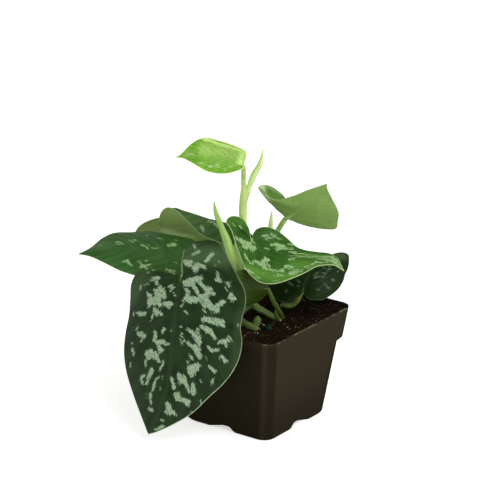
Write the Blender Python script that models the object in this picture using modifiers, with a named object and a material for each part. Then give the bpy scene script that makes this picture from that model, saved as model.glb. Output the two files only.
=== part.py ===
"""A young argyraeus satin pothos in its square nursery pot.

The file works in millimetres and turns them into metres when it makes an object. +Z is up, the
origin is the middle of the pot's underside, and the pot's sides face +X, -X, +Y and -Y. The
plant's guide points are written in a frame of its own, turned about Z against the pot: x runs to
the right and y away from the side that the plant is seen from.
"""

import math

import bmesh
import bpy
import numpy as np

MM = 0.001
GAP = 0.3

# Pot
POT_HEIGHT = 77.0
POT_HALF_TOP = 50.0
POT_HALF_BASE = 39.5
POT_WALL = 1.2
POT_FLOOR = 5.0
RIM_ROUND = 0.4
FOOT_ROUND = 0.8
CORNER_TOP = 9.0
CORNER_BASE = 8.5
STEP_CORNER = 17.8
STEP_LOW = 53.2
STEP_HIGH = 54.8
CORNER_STEPS = 6
NOTCH_WIDTH = 21.0
NOTCH_HEIGHT = 4.0
NOTCH_DEPTH = 6.5
NOTCH_BACK = 2.0
CUT_OVERRUN = 2.0

# Soil
SOIL_TOP = 73.0
SOIL_RELIEF = 0.7
SOIL_RINGS = 6
PELLET_RADIUS = 2.3
PELLET_AT = (9.5, -28.6, 74.5)

# Leaves and stems
PLANT_TURN = math.radians(36.33)
BLADE = 0.7
BLADE_ROWS = 18
BLADE_COLUMNS = 4
BLADE_BOW = -0.2
FINE_STEPS = 400
TUBE_SPACING = 6.0

POT_COLOUR = (56, 48, 40)
SOIL_COLOUR = (26, 17, 11)
PELLET_COLOUR = (22, 60, 40)
DARK_LEAF = (38, 70, 38)
LEFT_LEAF = (52, 92, 45)
FOLDED_LEAF = (70, 95, 55)
BACK_LEAF = (90, 110, 45)
CENTRE_LEAF = (70, 120, 45)
RIGHT_LEAF = (28, 50, 24)
UNDER_LEAF = (55, 75, 25)
TOP_LEAF = (125, 185, 60)
UNDERSIDE_LEAF = (110, 150, 80)
YOUNG_STEM = (170, 200, 120)
SPEAR_GREEN = (150, 195, 105)
STEM_GREEN = (95, 130, 60)
STUB_GREEN = (90, 120, 50)

# Stems: each list holds guides of x, y, z and radius, from the root end up

# The pale shoot, which lies on the soil, turns up and carries the young leaf.
STEM_TOP = [
    (18.5, -9.8, 70.5, 1.6), (15.5, -8.8, 73.5, 1.8), (8.5, -6.4, 77, 2.1), (1.5, -4, 80.5, 2.4),
    (-3.5, -1, 85, 2.6), (-6, 3, 92, 2.6), (-9.3, 4.6, 104.5, 2.7), (-11.2, 5.6, 115, 2.8),
    (-11.2, 6.8, 124, 2.7), (-8.8, 7.8, 134, 2.55), (-8, 8, 141, 2.5), (-8, 7, 151, 2.55),
    (-7.2, 5.7, 158.5, 2.75), (-7, 5, 163, 2.5),
    (-7.6, 4, 167, 1.7), (-7.9, 2.4, 171, 1.6), (-8, -1.5, 178, 1.5), (-8, -6.8, 184.5, 1.4),
]
# The rolled leaf that comes out of the pale shoot.
SPEAR_TOP = [
    (-3.7, 4.4, 167.2, 1.6), (-2.5, 4.3, 171, 2.3), (-0.8, 4, 175.8, 2.35), (2, 3.5, 181, 2.0),
    (4.6, 3, 187, 1.5), (5.2, 2, 194.2, 0.2),
]
# The thick rolled leaf in front of the pale shoot.
SPEAR_FRONT = [
    (-7, -0.5, 92.5, 1.4), (-9.5, -9, 102.5, 2.6), (-12.1, -13, 111.5, 3.8), (-13.9, -12, 119.5, 3.6),
    (-17.2, -10, 126.5, 3.1), (-20, -8.5, 133.5, 2.7), (-22.5, -7, 139.5, 2.2), (-25, -6, 146, 2.0),
    (-27, -5, 152, 1.4), (-28, -4, 159, 0.2),
]
# A thin rolled leaf behind the central leaf.
SPEAR_SMALL = [
    (2.5, 37, 67.5, 1.2), (3.5, 33, 74, 1.2), (5, 24, 88, 1.2), (7.5, 15, 104.5, 1.2),
    (9.5, 10, 118, 1.3), (10.5, 9, 126, 1.5), (11, 9, 134.5, 1.55), (11.5, 9, 141.5, 1.0),
    (12, 9, 147.5, 0.2),
]
# The stalk of the leaf at the upper right.
PETIOLE_UPPER_RIGHT = [
    (20.5, 37, 69, 2.1), (19, 34, 75.5, 2.1), (15, 28, 86.5, 2.0), (12.5, 21, 100.5, 1.9),
    (12, 16, 113.5, 1.9), (13.5, 13, 123.5, 1.9), (16, 12.5, 131, 1.9), (21.4, 12.1, 140.4, 1.7),
]
# The stalk of the central leaf.
PETIOLE_CENTRE = [
    (-3.5, 36, 68.5, 1.8), (-3.5, 33, 74, 1.8), (-3, 24, 86.5, 1.7), (-3, 12.5, 102, 1.7),
    (-2.5, 1.5, 116.5, 1.7), (-2, -7, 127, 1.6), (-2, -11.2, 131.5, 1.4),
]
# The stalk of the small leaf under the central one.
PETIOLE_UNDER = [
    (20, -5, 70, 1.7), (18.5, -7, 76, 1.7), (15.6, -10, 82.5, 1.75), (12.6, -13.5, 89.5, 1.7),
    (10.8, -17, 95.5, 1.5), (10.2, -18.4, 97.5, 1.2),
]
# The stalk of the leaf on the right, which grows from the one beside it.
PETIOLE_RIGHT = [
    (17.8, -7.4, 82.5, 1.0), (19.5, -7, 83.5, 1.6), (22.5, -6.5, 82.5, 2.0), (26.5, -6, 83, 2.0),
    (30, -6.5, 86.5, 1.8), (32.2, -6.9, 90.5, 1.2),
]
# The arched stalk of the front leaf, which grows from the pale shoot.
PETIOLE_FRONT = [
    (-1.5, -6, 82, 1.5), (-5, -9.5, 81.7, 1.6), (-8, -16, 82, 1.8), (-13, -24, 83, 1.8),
    (-22.5, -33, 89, 1.8), (-34.5, -39, 99.5, 1.7), (-44, -41.5, 109.5, 1.6), (-48.4, -42.9, 115.4, 1.3),
]
# The stalk of the leaf on the left.
PETIOLE_LEFT = [
    (-14, 16, 67.5, 1.9), (-15.5, 15, 72.5, 1.9), (-21.5, 13, 81.5, 1.8), (-31.5, 8, 96.5, 1.7),
    (-40, -2, 107.5, 1.5), (-45.4, -12.3, 116.4, 1.2),
]
# The stalk of the folded leaf.
PETIOLE_FOLDED = [
    (-13.5, 36, 66.5, 1.9), (-19, 36, 74, 1.9), (-32, 35, 89.5, 1.8), (-46, 34, 105, 1.7),
    (-58.5, 32.5, 116, 1.5), (-62.4, 31.4, 119.9, 1.2),
]
# The stalk of the leaf at the back.
PETIOLE_BACK = [
    (-10, 48, 64.5, 1.9), (-12, 48, 69, 1.9), (-22, 48, 81.5, 1.8), (-36.5, 51, 97, 1.7),
    (-50.5, 54.5, 112, 1.5), (-57.1, 55.7, 120.2, 1.2),
]
# The old shoot, and the part of it that turns up.
STUB = [
    (-16.5, 11, 70, 2.1), (-11, -7.5, 73, 2.3), (-5.5, -20, 73.5, 2.5), (0, -26.5, 73.3, 2.4),
    (2.6, -28.5, 72.6, 2.0),
]
STUB_KNOB = [(-0.5, -25, 73.5, 2.1), (1.6, -22.5, 76, 2.1), (1.9, -21, 79.3, 2.5)]

STEMS = {
    "stem_top": (STEM_TOP, YOUNG_STEM),
    "spear_top": (SPEAR_TOP, YOUNG_STEM),
    "spear_front": (SPEAR_FRONT, SPEAR_GREEN),
    "spear_small": (SPEAR_SMALL, SPEAR_GREEN),
    "petiole_upper_right": (PETIOLE_UPPER_RIGHT, STEM_GREEN),
    "petiole_centre": (PETIOLE_CENTRE, STEM_GREEN),
    "petiole_under": (PETIOLE_UNDER, STEM_GREEN),
    "petiole_right": (PETIOLE_RIGHT, STEM_GREEN),
    "petiole_front": (PETIOLE_FRONT, STEM_GREEN),
    "petiole_left": (PETIOLE_LEFT, STEM_GREEN),
    "petiole_folded": (PETIOLE_FOLDED, STEM_GREEN),
    "petiole_back": (PETIOLE_BACK, STEM_GREEN),
}
IN_SOIL = {
    "stem_top": STEM_TOP,
    "spear_small": SPEAR_SMALL,
    "petiole_upper_right": PETIOLE_UPPER_RIGHT,
    "petiole_centre": PETIOLE_CENTRE,
    "petiole_under": PETIOLE_UNDER,
    "petiole_left": PETIOLE_LEFT,
    "petiole_folded": PETIOLE_FOLDED,
    "petiole_back": PETIOLE_BACK,
    "stub": STUB,
    "stub_knob": STUB_KNOB,
}


def clear_scene():
    for old in list(bpy.data.objects):
        bpy.data.objects.remove(old)


def make_collection(name):
    made = bpy.data.collections.new(name)
    bpy.context.scene.collection.children.link(made)
    return made


def linear(level):
    """An 8-bit sRGB level as a linear share."""
    share = level / 255.0
    return share / 12.92 if share <= 0.04045 else ((share + 0.055) / 1.055) ** 2.4


def material(name, colour, roughness):
    made = bpy.data.materials.new(name)
    made.use_nodes = True
    shader = made.node_tree.nodes["Principled BSDF"]
    shader.inputs["Base Color"].default_value = [linear(level) for level in colour] + [1.0]
    shader.inputs["Roughness"].default_value = roughness
    shader.inputs["Metallic"].default_value = 0.0
    return made


def mesh_object(name, points, faces, collection):
    """An object from points in millimetres and faces that point out."""
    mesh = bpy.data.meshes.new(name)
    mesh.from_pydata([tuple(point) for point in np.asarray(points) * MM], [], faces)
    mesh.validate()
    made = bpy.data.objects.new(name, mesh)
    collection.objects.link(made)
    return made


def finish(piece, colour, roughness):
    piece.data.materials.append(material(piece.name, colour, roughness))
    return piece


def as_cutter(piece):
    piece.hide_render = True
    piece.display_type = "WIRE"
    return piece


def cut(piece, cutter, name):
    step = piece.modifiers.new(name, "BOOLEAN")
    step.operation = "DIFFERENCE"
    step.object = cutter


def smooth_route(guides, count):
    """Evenly spaced points along the smooth curve through the guide points.

    The curve is a chain of cubic spans whose knots are spaced by the square root of the
    distance between guides. A fourth column, if there is one, is carried along the same way.
    """
    guides = np.asarray(guides, float)
    spans = np.linalg.norm(np.diff(guides[:, :3], axis=0), axis=1) ** 0.5
    knots = np.concatenate([[0.0], np.cumsum(spans)])
    slopes = np.diff(guides, axis=0) / spans[:, None]
    shares = (spans[:-1] / (spans[:-1] + spans[1:]))[:, None]
    tangents = np.empty_like(guides)
    tangents[1:-1] = slopes[:-1] * (1.0 - shares) + slopes[1:] * shares
    tangents[0] = 1.5 * slopes[0] - 0.5 * tangents[1]
    tangents[-1] = 1.5 * slopes[-1] - 0.5 * tangents[-2]
    at = np.linspace(0.0, knots[-1], FINE_STEPS)
    span = np.clip(np.searchsorted(knots, at, side="right") - 1, 0, len(spans) - 1)
    width = spans[span][:, None]
    t = (at[:, None] - knots[span][:, None]) / width
    curve = guides[span] * (2 * t**3 - 3 * t**2 + 1)
    curve += tangents[span] * width * (t**3 - 2 * t**2 + t)
    curve += guides[span + 1] * (3 * t**2 - 2 * t**3)
    curve += tangents[span + 1] * width * (t**3 - t**2)
    run = np.concatenate([[0.0], np.cumsum(np.linalg.norm(np.diff(curve[:, :3], axis=0), axis=1))])
    even = np.linspace(0.0, run[-1], count)
    return np.stack([np.interp(even, run, column) for column in curve.T], axis=-1)


def unit(vectors):
    return vectors / np.maximum(np.linalg.norm(vectors, axis=-1, keepdims=True), 1e-9)


def half_blade(rib, margin, side, bulge, lobe, rows):
    """One side of a blade, as rows of points from the rib to the margin.

    Each row starts on the rib and ends on the margin, which leaves the rib at its base and meets
    it again at the tip. The rows of the first share of the margin, given by lobe, fan out from
    the base. A row swells towards the upper face by bulge times its own length.
    """
    share = np.linspace(0.0, 1.0, rows + 1)
    edge = smooth_route([rib[0]] + margin + [rib[-1]], rows + 1)
    spine = smooth_route(rib, FINE_STEPS)
    heading = unit(np.gradient(spine, axis=0))
    along = np.clip((share - lobe) / (1.0 - lobe), 0.0, 1.0) * (FINE_STEPS - 1)
    steps = np.arange(FINE_STEPS)
    root = np.stack([np.interp(along, steps, column) for column in spine.T], axis=-1)
    ahead = unit(np.stack([np.interp(along, steps, column) for column in heading.T], axis=-1))
    reach = edge - root
    length = np.linalg.norm(reach, axis=-1)[:, None, None]
    upward = np.cross(reach, ahead) if side == "right" else np.cross(ahead, reach)
    across = np.linspace(0.0, 1.0, BLADE_COLUMNS + 1)[None, :, None]
    lift = np.interp(share, np.linspace(0.0, 1.0, len(bulge)), bulge)[:, None, None]
    belly = across * (1.0 - across) * length
    flat = root[:, None] + reach[:, None] * across
    return flat + unit(upward)[:, None] * 4.0 * lift * belly + ahead[:, None] * BLADE_BOW * belly


def grid_triangles(points):
    """The merged points of a grid and its triangles, without those that have no area."""
    rows, columns = points.shape[:2]
    merged, index = np.unique(np.round(points.reshape(-1, 3), 4), axis=0, return_inverse=True)
    index = index.reshape(rows, columns)
    near_left = index[:-1, :-1].ravel()
    near_right = index[:-1, 1:].ravel()
    far_right = index[1:, 1:].ravel()
    far_left = index[1:, :-1].ravel()
    first = np.stack([near_left, near_right, far_right], axis=-1)
    second = np.stack([near_left, far_right, far_left], axis=-1)
    triangles = np.concatenate([first, second])
    real = (triangles != np.roll(triangles, 1, axis=1)).all(axis=1)
    return merged, triangles[real].tolist()


def leaf(name, rib, left, right, bulge, lobe, colour, rows=BLADE_ROWS):
    """A blade between its rib and its left and right margins, given thickness to both sides."""
    left_half = half_blade(rib, left, "left", bulge[0], lobe, rows)
    right_half = half_blade(rib, right, "right", bulge[1], lobe, rows)
    points, faces = grid_triangles(np.concatenate([left_half[:, :0:-1], right_half], axis=1))
    piece = mesh_object(name, points, faces, PARTS)
    body = piece.modifiers.new("blade", "SOLIDIFY")
    body.thickness = BLADE * MM
    body.offset = 0.0
    piece.parent = PLANT
    piece.data.shade_smooth()
    return finish(piece, colour, 0.45)


def tube(name, guides, collection, extra=0.0):
    """A stem through guides of x, y, z and radius, as a curve with round sections and flat ends."""
    length = np.linalg.norm(np.diff(np.asarray(guides, float)[:, :3], axis=0), axis=1).sum()
    route = smooth_route(guides, max(5, round(length / TUBE_SPACING) + 1))
    route[0, :3] += unit(route[0, :3] - route[1, :3]) * extra
    route[-1, :3] += unit(route[-1, :3] - route[-2, :3]) * extra
    data = bpy.data.curves.new(name, "CURVE")
    data.dimensions = "3D"
    data.bevel_depth = MM
    data.bevel_resolution = 2
    data.use_fill_caps = True
    spline = data.splines.new("POLY")
    spline.points.add(len(route) - 1)
    for point, (x, y, z, radius) in zip(spline.points, route):
        point.co = (x * MM, y * MM, z * MM, 1.0)
        point.radius = radius + extra
    made = bpy.data.objects.new(name, data)
    collection.objects.link(made)
    made.parent = PLANT
    return made


def stem(name, guides, colour):
    return finish(tube(name, guides, PARTS), colour, 0.4)


def weld(mesh):
    work = bmesh.new()
    work.from_mesh(mesh)
    bmesh.ops.remove_doubles(work, verts=work.verts, dist=1e-6)
    bmesh.ops.recalc_face_normals(work, faces=work.faces)
    work.to_mesh(mesh)
    work.free()


def tube_mesh(name, guides, collection, extra=0.0):
    """The same stem as a closed mesh, for a joint or a cut."""
    curve = tube(name + "_route", guides, collection, extra)
    bpy.context.view_layer.update()
    graph = bpy.context.evaluated_depsgraph_get()
    mesh = bpy.data.meshes.new_from_object(curve.evaluated_get(graph))
    mesh.name = name
    weld(mesh)
    made = bpy.data.objects.new(name, mesh)
    collection.objects.link(made)
    made.matrix_world = curve.matrix_world
    bpy.data.objects.remove(curve)
    return made


def rounded_square(half, plain_corner, step_corner, z):
    """A ring of points round a square whose +X+Y and -X-Y corners have a radius of their own."""
    points = []
    for quarter in range(4):
        radius = step_corner if quarter % 2 == 0 else plain_corner
        turn = quarter * math.pi / 2
        for step in range(CORNER_STEPS + 1):
            angle = step / CORNER_STEPS * math.pi / 2
            x = half - radius + radius * math.cos(angle)
            y = half - radius + radius * math.sin(angle)
            across = x * math.cos(turn) - y * math.sin(turn)
            away = x * math.sin(turn) + y * math.cos(turn)
            points.append((across, away, z))
    return points


def pot_ring(z, inset):
    """The pot's outer section at height z, moved in by inset."""
    share = z / POT_HEIGHT
    half = POT_HALF_BASE + (POT_HALF_TOP - POT_HALF_BASE) * share - inset
    corner = CORNER_BASE + (CORNER_TOP - CORNER_BASE) * share - inset
    return half, corner, corner if z >= STEP_HIGH else STEP_CORNER - inset


def band_faces(first, second, count):
    """Faces between two rings of count points, where the second ring is the next one along."""
    faces = []
    for k in range(count):
        after = (k + 1) % count
        faces.append((first + k, first + after, second + after, second + k))
    return faces


def ring_solid(name, rings, collection):
    """A closed body through rings, with a flat face over the first and the last ring."""
    count = len(rings[0])
    points = [point for ring in rings for point in ring]
    faces = [tuple(range(count - 1, -1, -1))]
    for level in range(len(rings) - 1):
        faces += band_faces(level * count, (level + 1) * count, count)
    top = (len(rings) - 1) * count
    faces.append(tuple(range(top, top + count)))
    return mesh_object(name, points, faces, collection)


def foot_notch(number):
    """A notch under the middle of one side, whose side walls close in towards its back."""
    outer = POT_HALF_BASE + CUT_OVERRUN
    back = POT_HALF_BASE - NOTCH_DEPTH
    plan = [
        (back, -NOTCH_BACK / 2),
        (POT_HALF_BASE, -NOTCH_WIDTH / 2),
        (outer, -NOTCH_WIDTH / 2),
        (outer, NOTCH_WIDTH / 2),
        (POT_HALF_BASE, NOTCH_WIDTH / 2),
        (back, NOTCH_BACK / 2),
    ]
    rings = [[(x, y, z) for x, y in plan] for z in (-CUT_OVERRUN, NOTCH_HEIGHT)]
    wedge = ring_solid(f"foot_notch_{number}", rings, CUTTERS)
    wedge.rotation_euler = (0.0, 0.0, number * math.pi / 2)
    return as_cutter(wedge)


def pot():
    """The moulded pot: a tapered square with a set-back step at two corners and notched feet."""
    levels = [
        (0.0, FOOT_ROUND),
        (FOOT_ROUND, 0.0),
        (STEP_LOW, 0.0),
        (STEP_HIGH, 0.0),
        (POT_HEIGHT - RIM_ROUND, 0.0),
        (POT_HEIGHT, RIM_ROUND),
        (POT_HEIGHT, POT_WALL),
        (STEP_HIGH, POT_WALL),
        (STEP_LOW, POT_WALL),
        (POT_FLOOR, POT_WALL),
    ]
    piece = ring_solid("pot", [rounded_square(*pot_ring(z, inset), z) for z, inset in levels], PARTS)
    for number in range(4):
        cut(piece, foot_notch(number), f"notch {number + 1}")
    piece.data.shade_smooth()
    piece.data.set_sharp_from_angle(angle=math.radians(30))
    return finish(piece, POT_COLOUR, 0.45)


def soil_height(x, y):
    """The soil's surface: two gentle swells across each other."""
    swell = math.sin(x * 0.13 + 0.6) * math.cos(y * 0.11) + 0.6 * math.sin(x * 0.05 - y * 0.21)
    return SOIL_TOP + SOIL_RELIEF * swell / 1.6


def soil_rings():
    """Rings of the soil's body, 0.3 mm inside the pot, and of its surface, in to the middle."""
    inset = POT_WALL + GAP
    rings = []
    for seat in (POT_FLOOR, STEP_LOW, STEP_HIGH):
        z = seat + GAP
        rings.append(rounded_square(*pot_ring(seat, inset), z))
    edge = rounded_square(*pot_ring(SOIL_TOP, inset), SOIL_TOP)
    for ring in range(SOIL_RINGS):
        share = 1.0 - ring / SOIL_RINGS
        rings.append([(x * share, y * share, soil_height(x * share, y * share)) for x, y, z in edge])
    return rings


def soil():
    """The potting soil with a hole for each stem that stands in it and a seat for the pellet."""
    piece = ring_solid("soil", soil_rings(), PARTS)
    for name, guides in IN_SOIL.items():
        cutter = as_cutter(tube_mesh(name + "_hole", guides, CUTTERS, GAP))
        cut(piece, cutter, name)
    cut(piece, as_cutter(ball("pellet_seat", PELLET_RADIUS + GAP, CUTTERS)), "pellet seat")
    return finish(piece, SOIL_COLOUR, 0.95)


def ball(name, radius, collection):
    mesh = bpy.data.meshes.new(name)
    work = bmesh.new()
    bmesh.ops.create_uvsphere(work, u_segments=16, v_segments=10, radius=radius * MM)
    work.to_mesh(mesh)
    work.free()
    made = bpy.data.objects.new(name, mesh)
    collection.objects.link(made)
    made.parent = PLANT
    made.location = [value * MM for value in PELLET_AT]
    return made


def pellet():
    piece = ball("pellet", PELLET_RADIUS, PARTS)
    piece.data.shade_smooth()
    return finish(piece, PELLET_COLOUR, 0.5)


def leaf_front():
    """The largest leaf, which hangs over the front of the pot with its tip just above the ground."""
    return leaf(
        "leaf_front",
        rib=[
            (-50, -43.5, 117.5), (-53.5, -47.5, 99), (-56, -50.5, 78), (-58.5, -55, 49),
            (-65, -56.5, 26.5), (-73.5, -54.5, 6),
        ],
        left=[
            (-49, -43.5, 120.5), (-49.5, -42, 128), (-48, -40, 135.5), (-44, -40, 140),
            (-36, -42.5, 143.5), (-26, -45.5, 144), (-21, -48, 139.5), (-16.5, -51.5, 131.5),
            (-11, -55, 122), (-6.5, -58, 112.5), (-6, -59.5, 105.5), (-8, -61.5, 96.5),
            (-9.5, -60.5, 86.5), (-8.5, -64.5, 80), (-9.5, -65.5, 71), (-13, -66, 61),
            (-20.5, -66, 49.5), (-31.5, -64, 37.5), (-42.5, -62.5, 25.5), (-55.5, -59, 15.5),
            (-68, -55.5, 8),
        ],
        right=[
            (-53.5, -41.5, 115), (-60.5, -37.5, 112.5), (-66, -33, 114.5), (-72, -29, 115.5),
            (-77.5, -25.5, 115), (-81.5, -23, 112.5), (-85, -23, 105.5), (-86, -24.5, 94),
            (-87, -25.5, 82.5), (-89.5, -26.5, 70), (-90.5, -29.5, 58), (-89, -33.5, 45),
            (-83.5, -41.5, 29), (-78, -48.5, 16),
        ],
        bulge=([0.05, 0.06, 0.06, 0.05, 0.02], [0.05, 0.08, 0.06, 0.05, 0.02]),
        lobe=0.32,
        colour=DARK_LEAF,
        rows=BLADE_ROWS + 6,
    )


def leaf_left():
    """A leaf that reaches out level to the left and points away from the pot."""
    return leaf(
        "leaf_left",
        rib=[
            (-46, -13.5, 117.5), (-57, -10, 120), (-72.5, -5.5, 122), (-90, 0, 122.5),
            (-107.5, 0, 121.5), (-123, -0.5, 118.5),
        ],
        left=[
            (-44.5, -18, 116), (-45, -21.5, 113.5), (-48.5, -23.5, 111.5), (-56, -24, 109.5),
            (-65, -22.5, 108.5), (-74.5, -20.5, 108), (-83.5, -18, 109.5), (-93, -14.5, 111.5),
            (-105, -8.5, 115.5), (-115, -3, 118),
        ],
        right=[
            (-43.5, -10, 119.5), (-39.5, 0.5, 121.5), (-39.5, 10.5, 123), (-45.5, 17, 124),
            (-54, 20.5, 124.5), (-63, 22.5, 125.5), (-73.5, 26.5, 126), (-86.5, 26, 125.5),
            (-99, 25.5, 125), (-106.5, 19.5, 123.5), (-115, 6.5, 120.5),
        ],
        bulge=([0.08, 0.1, 0.1, 0.08, 0.03], [0.05, 0.06, 0.06, 0.05, 0.02]),
        lobe=0.3,
        colour=LEFT_LEAF,
    )


def leaf_centre():
    """The saddle-shaped leaf in the middle, whose left lobe stands up and whose tip bends down."""
    return leaf(
        "leaf_centre",
        rib=[
            (-2, -12, 132.5), (5, -17, 128), (14, -22, 125), (25.5, -26, 124.5), (40, -28, 124.5),
            (52, -31, 123.5), (61, -37, 119.5),
        ],
        left=[
            (-1, -7, 134.5), (0.5, -3, 137), (4.5, -1, 138.5), (10, -1, 138.5), (16.5, -2, 136),
            (22.5, -5, 132), (29, -10, 127.5), (34, -12, 126), (43.5, -15, 125.5), (51, -19, 126),
            (56.5, -25, 125), (59, -32, 122.5),
        ],
        right=[
            (-3, -9, 135), (-4, -4, 138.5), (-6.5, 0, 142), (-9.5, 2, 144.5), (-14.5, 3, 145.5),
            (-18.5, 2, 144.5), (-20, 0, 142), (-18, -3, 140), (-16, -7, 137.5), (-13.5, -14, 131.5),
            (-11, -20, 126.5), (-8, -27, 121), (-5, -33, 117.5), (-1, -37, 114.5), (3.5, -40, 112.5),
            (11, -42, 112), (17, -43, 113.5), (24, -43, 116), (33.5, -42, 120), (41, -41, 124),
            (47.5, -41, 125.5), (54, -40, 125), (58, -38, 122),
        ],
        bulge=([0.02, 0.0, -0.04, -0.03, 0.0], [-0.02, -0.04, -0.06, -0.05, 0.0]),
        lobe=0.34,
        colour=CENTRE_LEAF,
    )


def leaf_right():
    """A dark leaf behind the central one, over the right side of the pot."""
    return leaf(
        "leaf_right",
        rib=[
            (33.5, -7, 93), (36, -2, 98.5), (39.5, 4.5, 103.5), (43.5, 11, 108), (48, 17.5, 110),
        ],
        left=[
            (32.5, -7.5, 91.5), (30, -9, 90), (26.5, -10, 88.5), (22, -10, 87), (17.5, -9, 87),
            (14, -6.5, 88.5), (11.5, -2.5, 91.5), (11, 2, 95), (13.5, 8.5, 99), (19, 15, 103.5),
            (27.5, 19.5, 107), (37.5, 20, 109),
        ],
        right=[
            (34.5, -8, 91), (37, -9, 89), (40.5, -9, 88), (46.5, -8, 87.5), (52, -5, 89),
            (55.5, -3, 91), (58.5, -0.5, 93), (62, 4.5, 97), (63.5, 8.5, 100.5), (65.5, 12.5, 103.5),
            (66.5, 18.5, 107.5), (66, 22.5, 110), (63, 24, 111), (59, 24, 111), (53.5, 21, 110.5),
        ],
        bulge=([0.06, 0.1, 0.08, 0.05, 0.02], [0.06, 0.1, 0.08, 0.05, 0.02]),
        lobe=0.36,
        colour=RIGHT_LEAF,
    )


def leaf_top():
    """The young leaf at the top, with one side rolled over along its length."""
    return leaf(
        "leaf_top",
        rib=[
            (-8, -7.5, 185.5), (-15.5, -7, 187.5), (-25, -5.5, 189.5), (-35.5, -4.5, 190.5),
            (-45.5, -4, 190.5), (-55.5, -1.5, 189.5),
        ],
        left=[
            (-8, -10, 184.5), (-10, -10.5, 183.5), (-14.5, -11, 182), (-19.5, -11.5, 181),
            (-26, -11, 181), (-33.5, -10, 182.5), (-39.5, -8, 185.5), (-45, -5.5, 188),
            (-50, -3, 189.5),
        ],
        right=[
            (-7.5, -7.5, 187.5), (-6.5, -6.5, 191), (-6, -6.5, 195.5), (-7.5, -8, 197),
            (-13, -8.5, 199.5), (-19.5, -7, 201.5), (-26.5, -5, 203), (-32.5, -1, 203.5),
            (-39, 1.5, 201.5), (-43, 1.5, 199), (-48, -0.5, 194.5), (-51.5, -2, 191.5),
        ],
        bulge=([0.05, 0.05, 0.03, 0.0], [-0.1, -0.28, -0.28, -0.15, 0.0, 0.0]),
        lobe=0.25,
        colour=TOP_LEAF,
    )


def leaf_upper_right():
    """A leaf seen from below, rolled like a horn round its base."""
    return leaf(
        "leaf_upper_right",
        rib=[
            (22, 12, 141.5), (27.5, 10, 145.5), (33.5, 9, 150), (42, 9, 159), (50.5, 10, 167),
        ],
        left=[
            (24.5, 13, 139), (29, 14, 137.5), (36, 16, 134.5), (44.5, 17, 132), (52.5, 17, 131),
            (57, 16, 132), (58, 13, 138.5), (58.5, 11, 144.5), (57, 10, 149.5), (52, 10, 159.5),
            (50, 10, 164.5),
        ],
        right=[
            (23, 18, 145), (22.5, 24, 148.5), (20.5, 27, 152), (15, 27, 157), (9.5, 24, 161),
            (5, 20, 162.5), (2.5, 15, 162.5), (5.5, 10, 162.5), (8.5, 7, 159.5), (12, 5, 157.5),
            (17, 4, 157), (21.5, 5, 158), (28.5, 6, 160), (36, 7, 163), (44, 8, 165.5),
        ],
        bulge=([0.0, -0.03, -0.03, 0.0], [0.0, -0.1, -0.12, -0.1, -0.05, 0.0]),
        lobe=0.38,
        colour=UNDERSIDE_LEAF,
    )


def leaf_folded():
    """A leaf folded along its rib, with both halves standing up."""
    return leaf(
        "leaf_folded",
        rib=[
            (-64, 31, 121.5), (-54, 30, 118.5), (-41.5, 31, 110), (-27, 33, 99.5), (-13, 34, 97.5),
            (1.5, 35, 104),
        ],
        left=[
            (-65, 35, 125.5), (-64.5, 42, 130), (-61.5, 46, 134.5), (-57.5, 49, 136),
            (-50.5, 50, 133.5), (-41, 51, 130), (-33, 50, 127.5), (-22, 48, 125.5), (-10.5, 44, 123),
            (-2.5, 40, 119.5), (1, 37, 115),
        ],
        right=[
            (-66, 27, 128.5), (-67, 22, 137), (-65, 19, 143.5), (-61.5, 17, 147), (-57.5, 16, 147),
            (-53, 15, 144.5), (-49.5, 15, 141), (-44.5, 16, 135), (-40.5, 17, 130), (-36, 19, 125.5),
            (-30, 21, 122), (-20, 25, 117), (-9, 30, 112.5),
        ],
        bulge=([-0.05, -0.08, -0.08, -0.04], [-0.02, -0.06, -0.08, -0.04]),
        lobe=0.3,
        colour=FOLDED_LEAF,
    )


def leaf_back():
    """The leaf behind the folded one, which hangs down over the back of the pot."""
    return leaf(
        "leaf_back",
        rib=[
            (-58.5, 56, 122), (-60, 62, 115.5), (-62.5, 72, 105), (-65.5, 84, 91.5), (-68, 93, 79),
        ],
        left=[
            (-61, 54, 125.5), (-67.5, 54, 126.5), (-74.5, 55, 124.5), (-81.5, 57, 120),
            (-85.5, 61, 113.5), (-87, 69, 103), (-82.5, 79, 91.5), (-75.5, 88, 84),
        ],
        right=[
            (-55, 56, 124.5), (-47.5, 57, 124), (-41.5, 59, 119.5), (-37, 64, 110), (-39.5, 73, 98.5),
            (-48, 83, 88), (-58.5, 90, 81.5),
        ],
        bulge=([0.06, 0.08, 0.06, 0.02], [0.06, 0.08, 0.06, 0.02]),
        lobe=0.34,
        colour=BACK_LEAF,
    )


def leaf_under():
    """A small dark leaf under the central one."""
    return leaf(
        "leaf_under",
        rib=[
            (9.5, -20, 100), (3.5, -24, 101.5), (-3.5, -28, 102.5), (-11, -34, 102.5), (-19, -42, 101),
        ],
        left=[
            (8.5, -19, 96.5), (5.5, -18, 92.5), (1.5, -19, 90), (-3, -23, 89.5), (-8, -29, 90.5),
            (-13.5, -36, 94),
        ],
        right=[
            (8, -21, 105), (4.5, -22, 110), (-0.5, -23.5, 114), (-6.5, -25.5, 116.5),
            (-12, -29, 117), (-16, -35, 113.5), (-18.5, -40.5, 107.5),
        ],
        bulge=([-0.05, -0.05, -0.05, 0.0], [0.05, 0.05, 0.05, 0.0]),
        lobe=0.3,
        colour=UNDER_LEAF,
    )


def stub():
    """The cut end of an old shoot, which lies in the soil and turns up at its end."""
    piece = tube_mesh("stub", STUB, PARTS)
    knob = tube_mesh("stub_knob", STUB_KNOB, CUTTERS)
    join = piece.modifiers.new("knob", "BOOLEAN")
    join.operation = "UNION"
    join.object = as_cutter(knob)
    piece.data.shade_smooth()
    return finish(piece, STUB_GREEN, 0.5)


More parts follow.
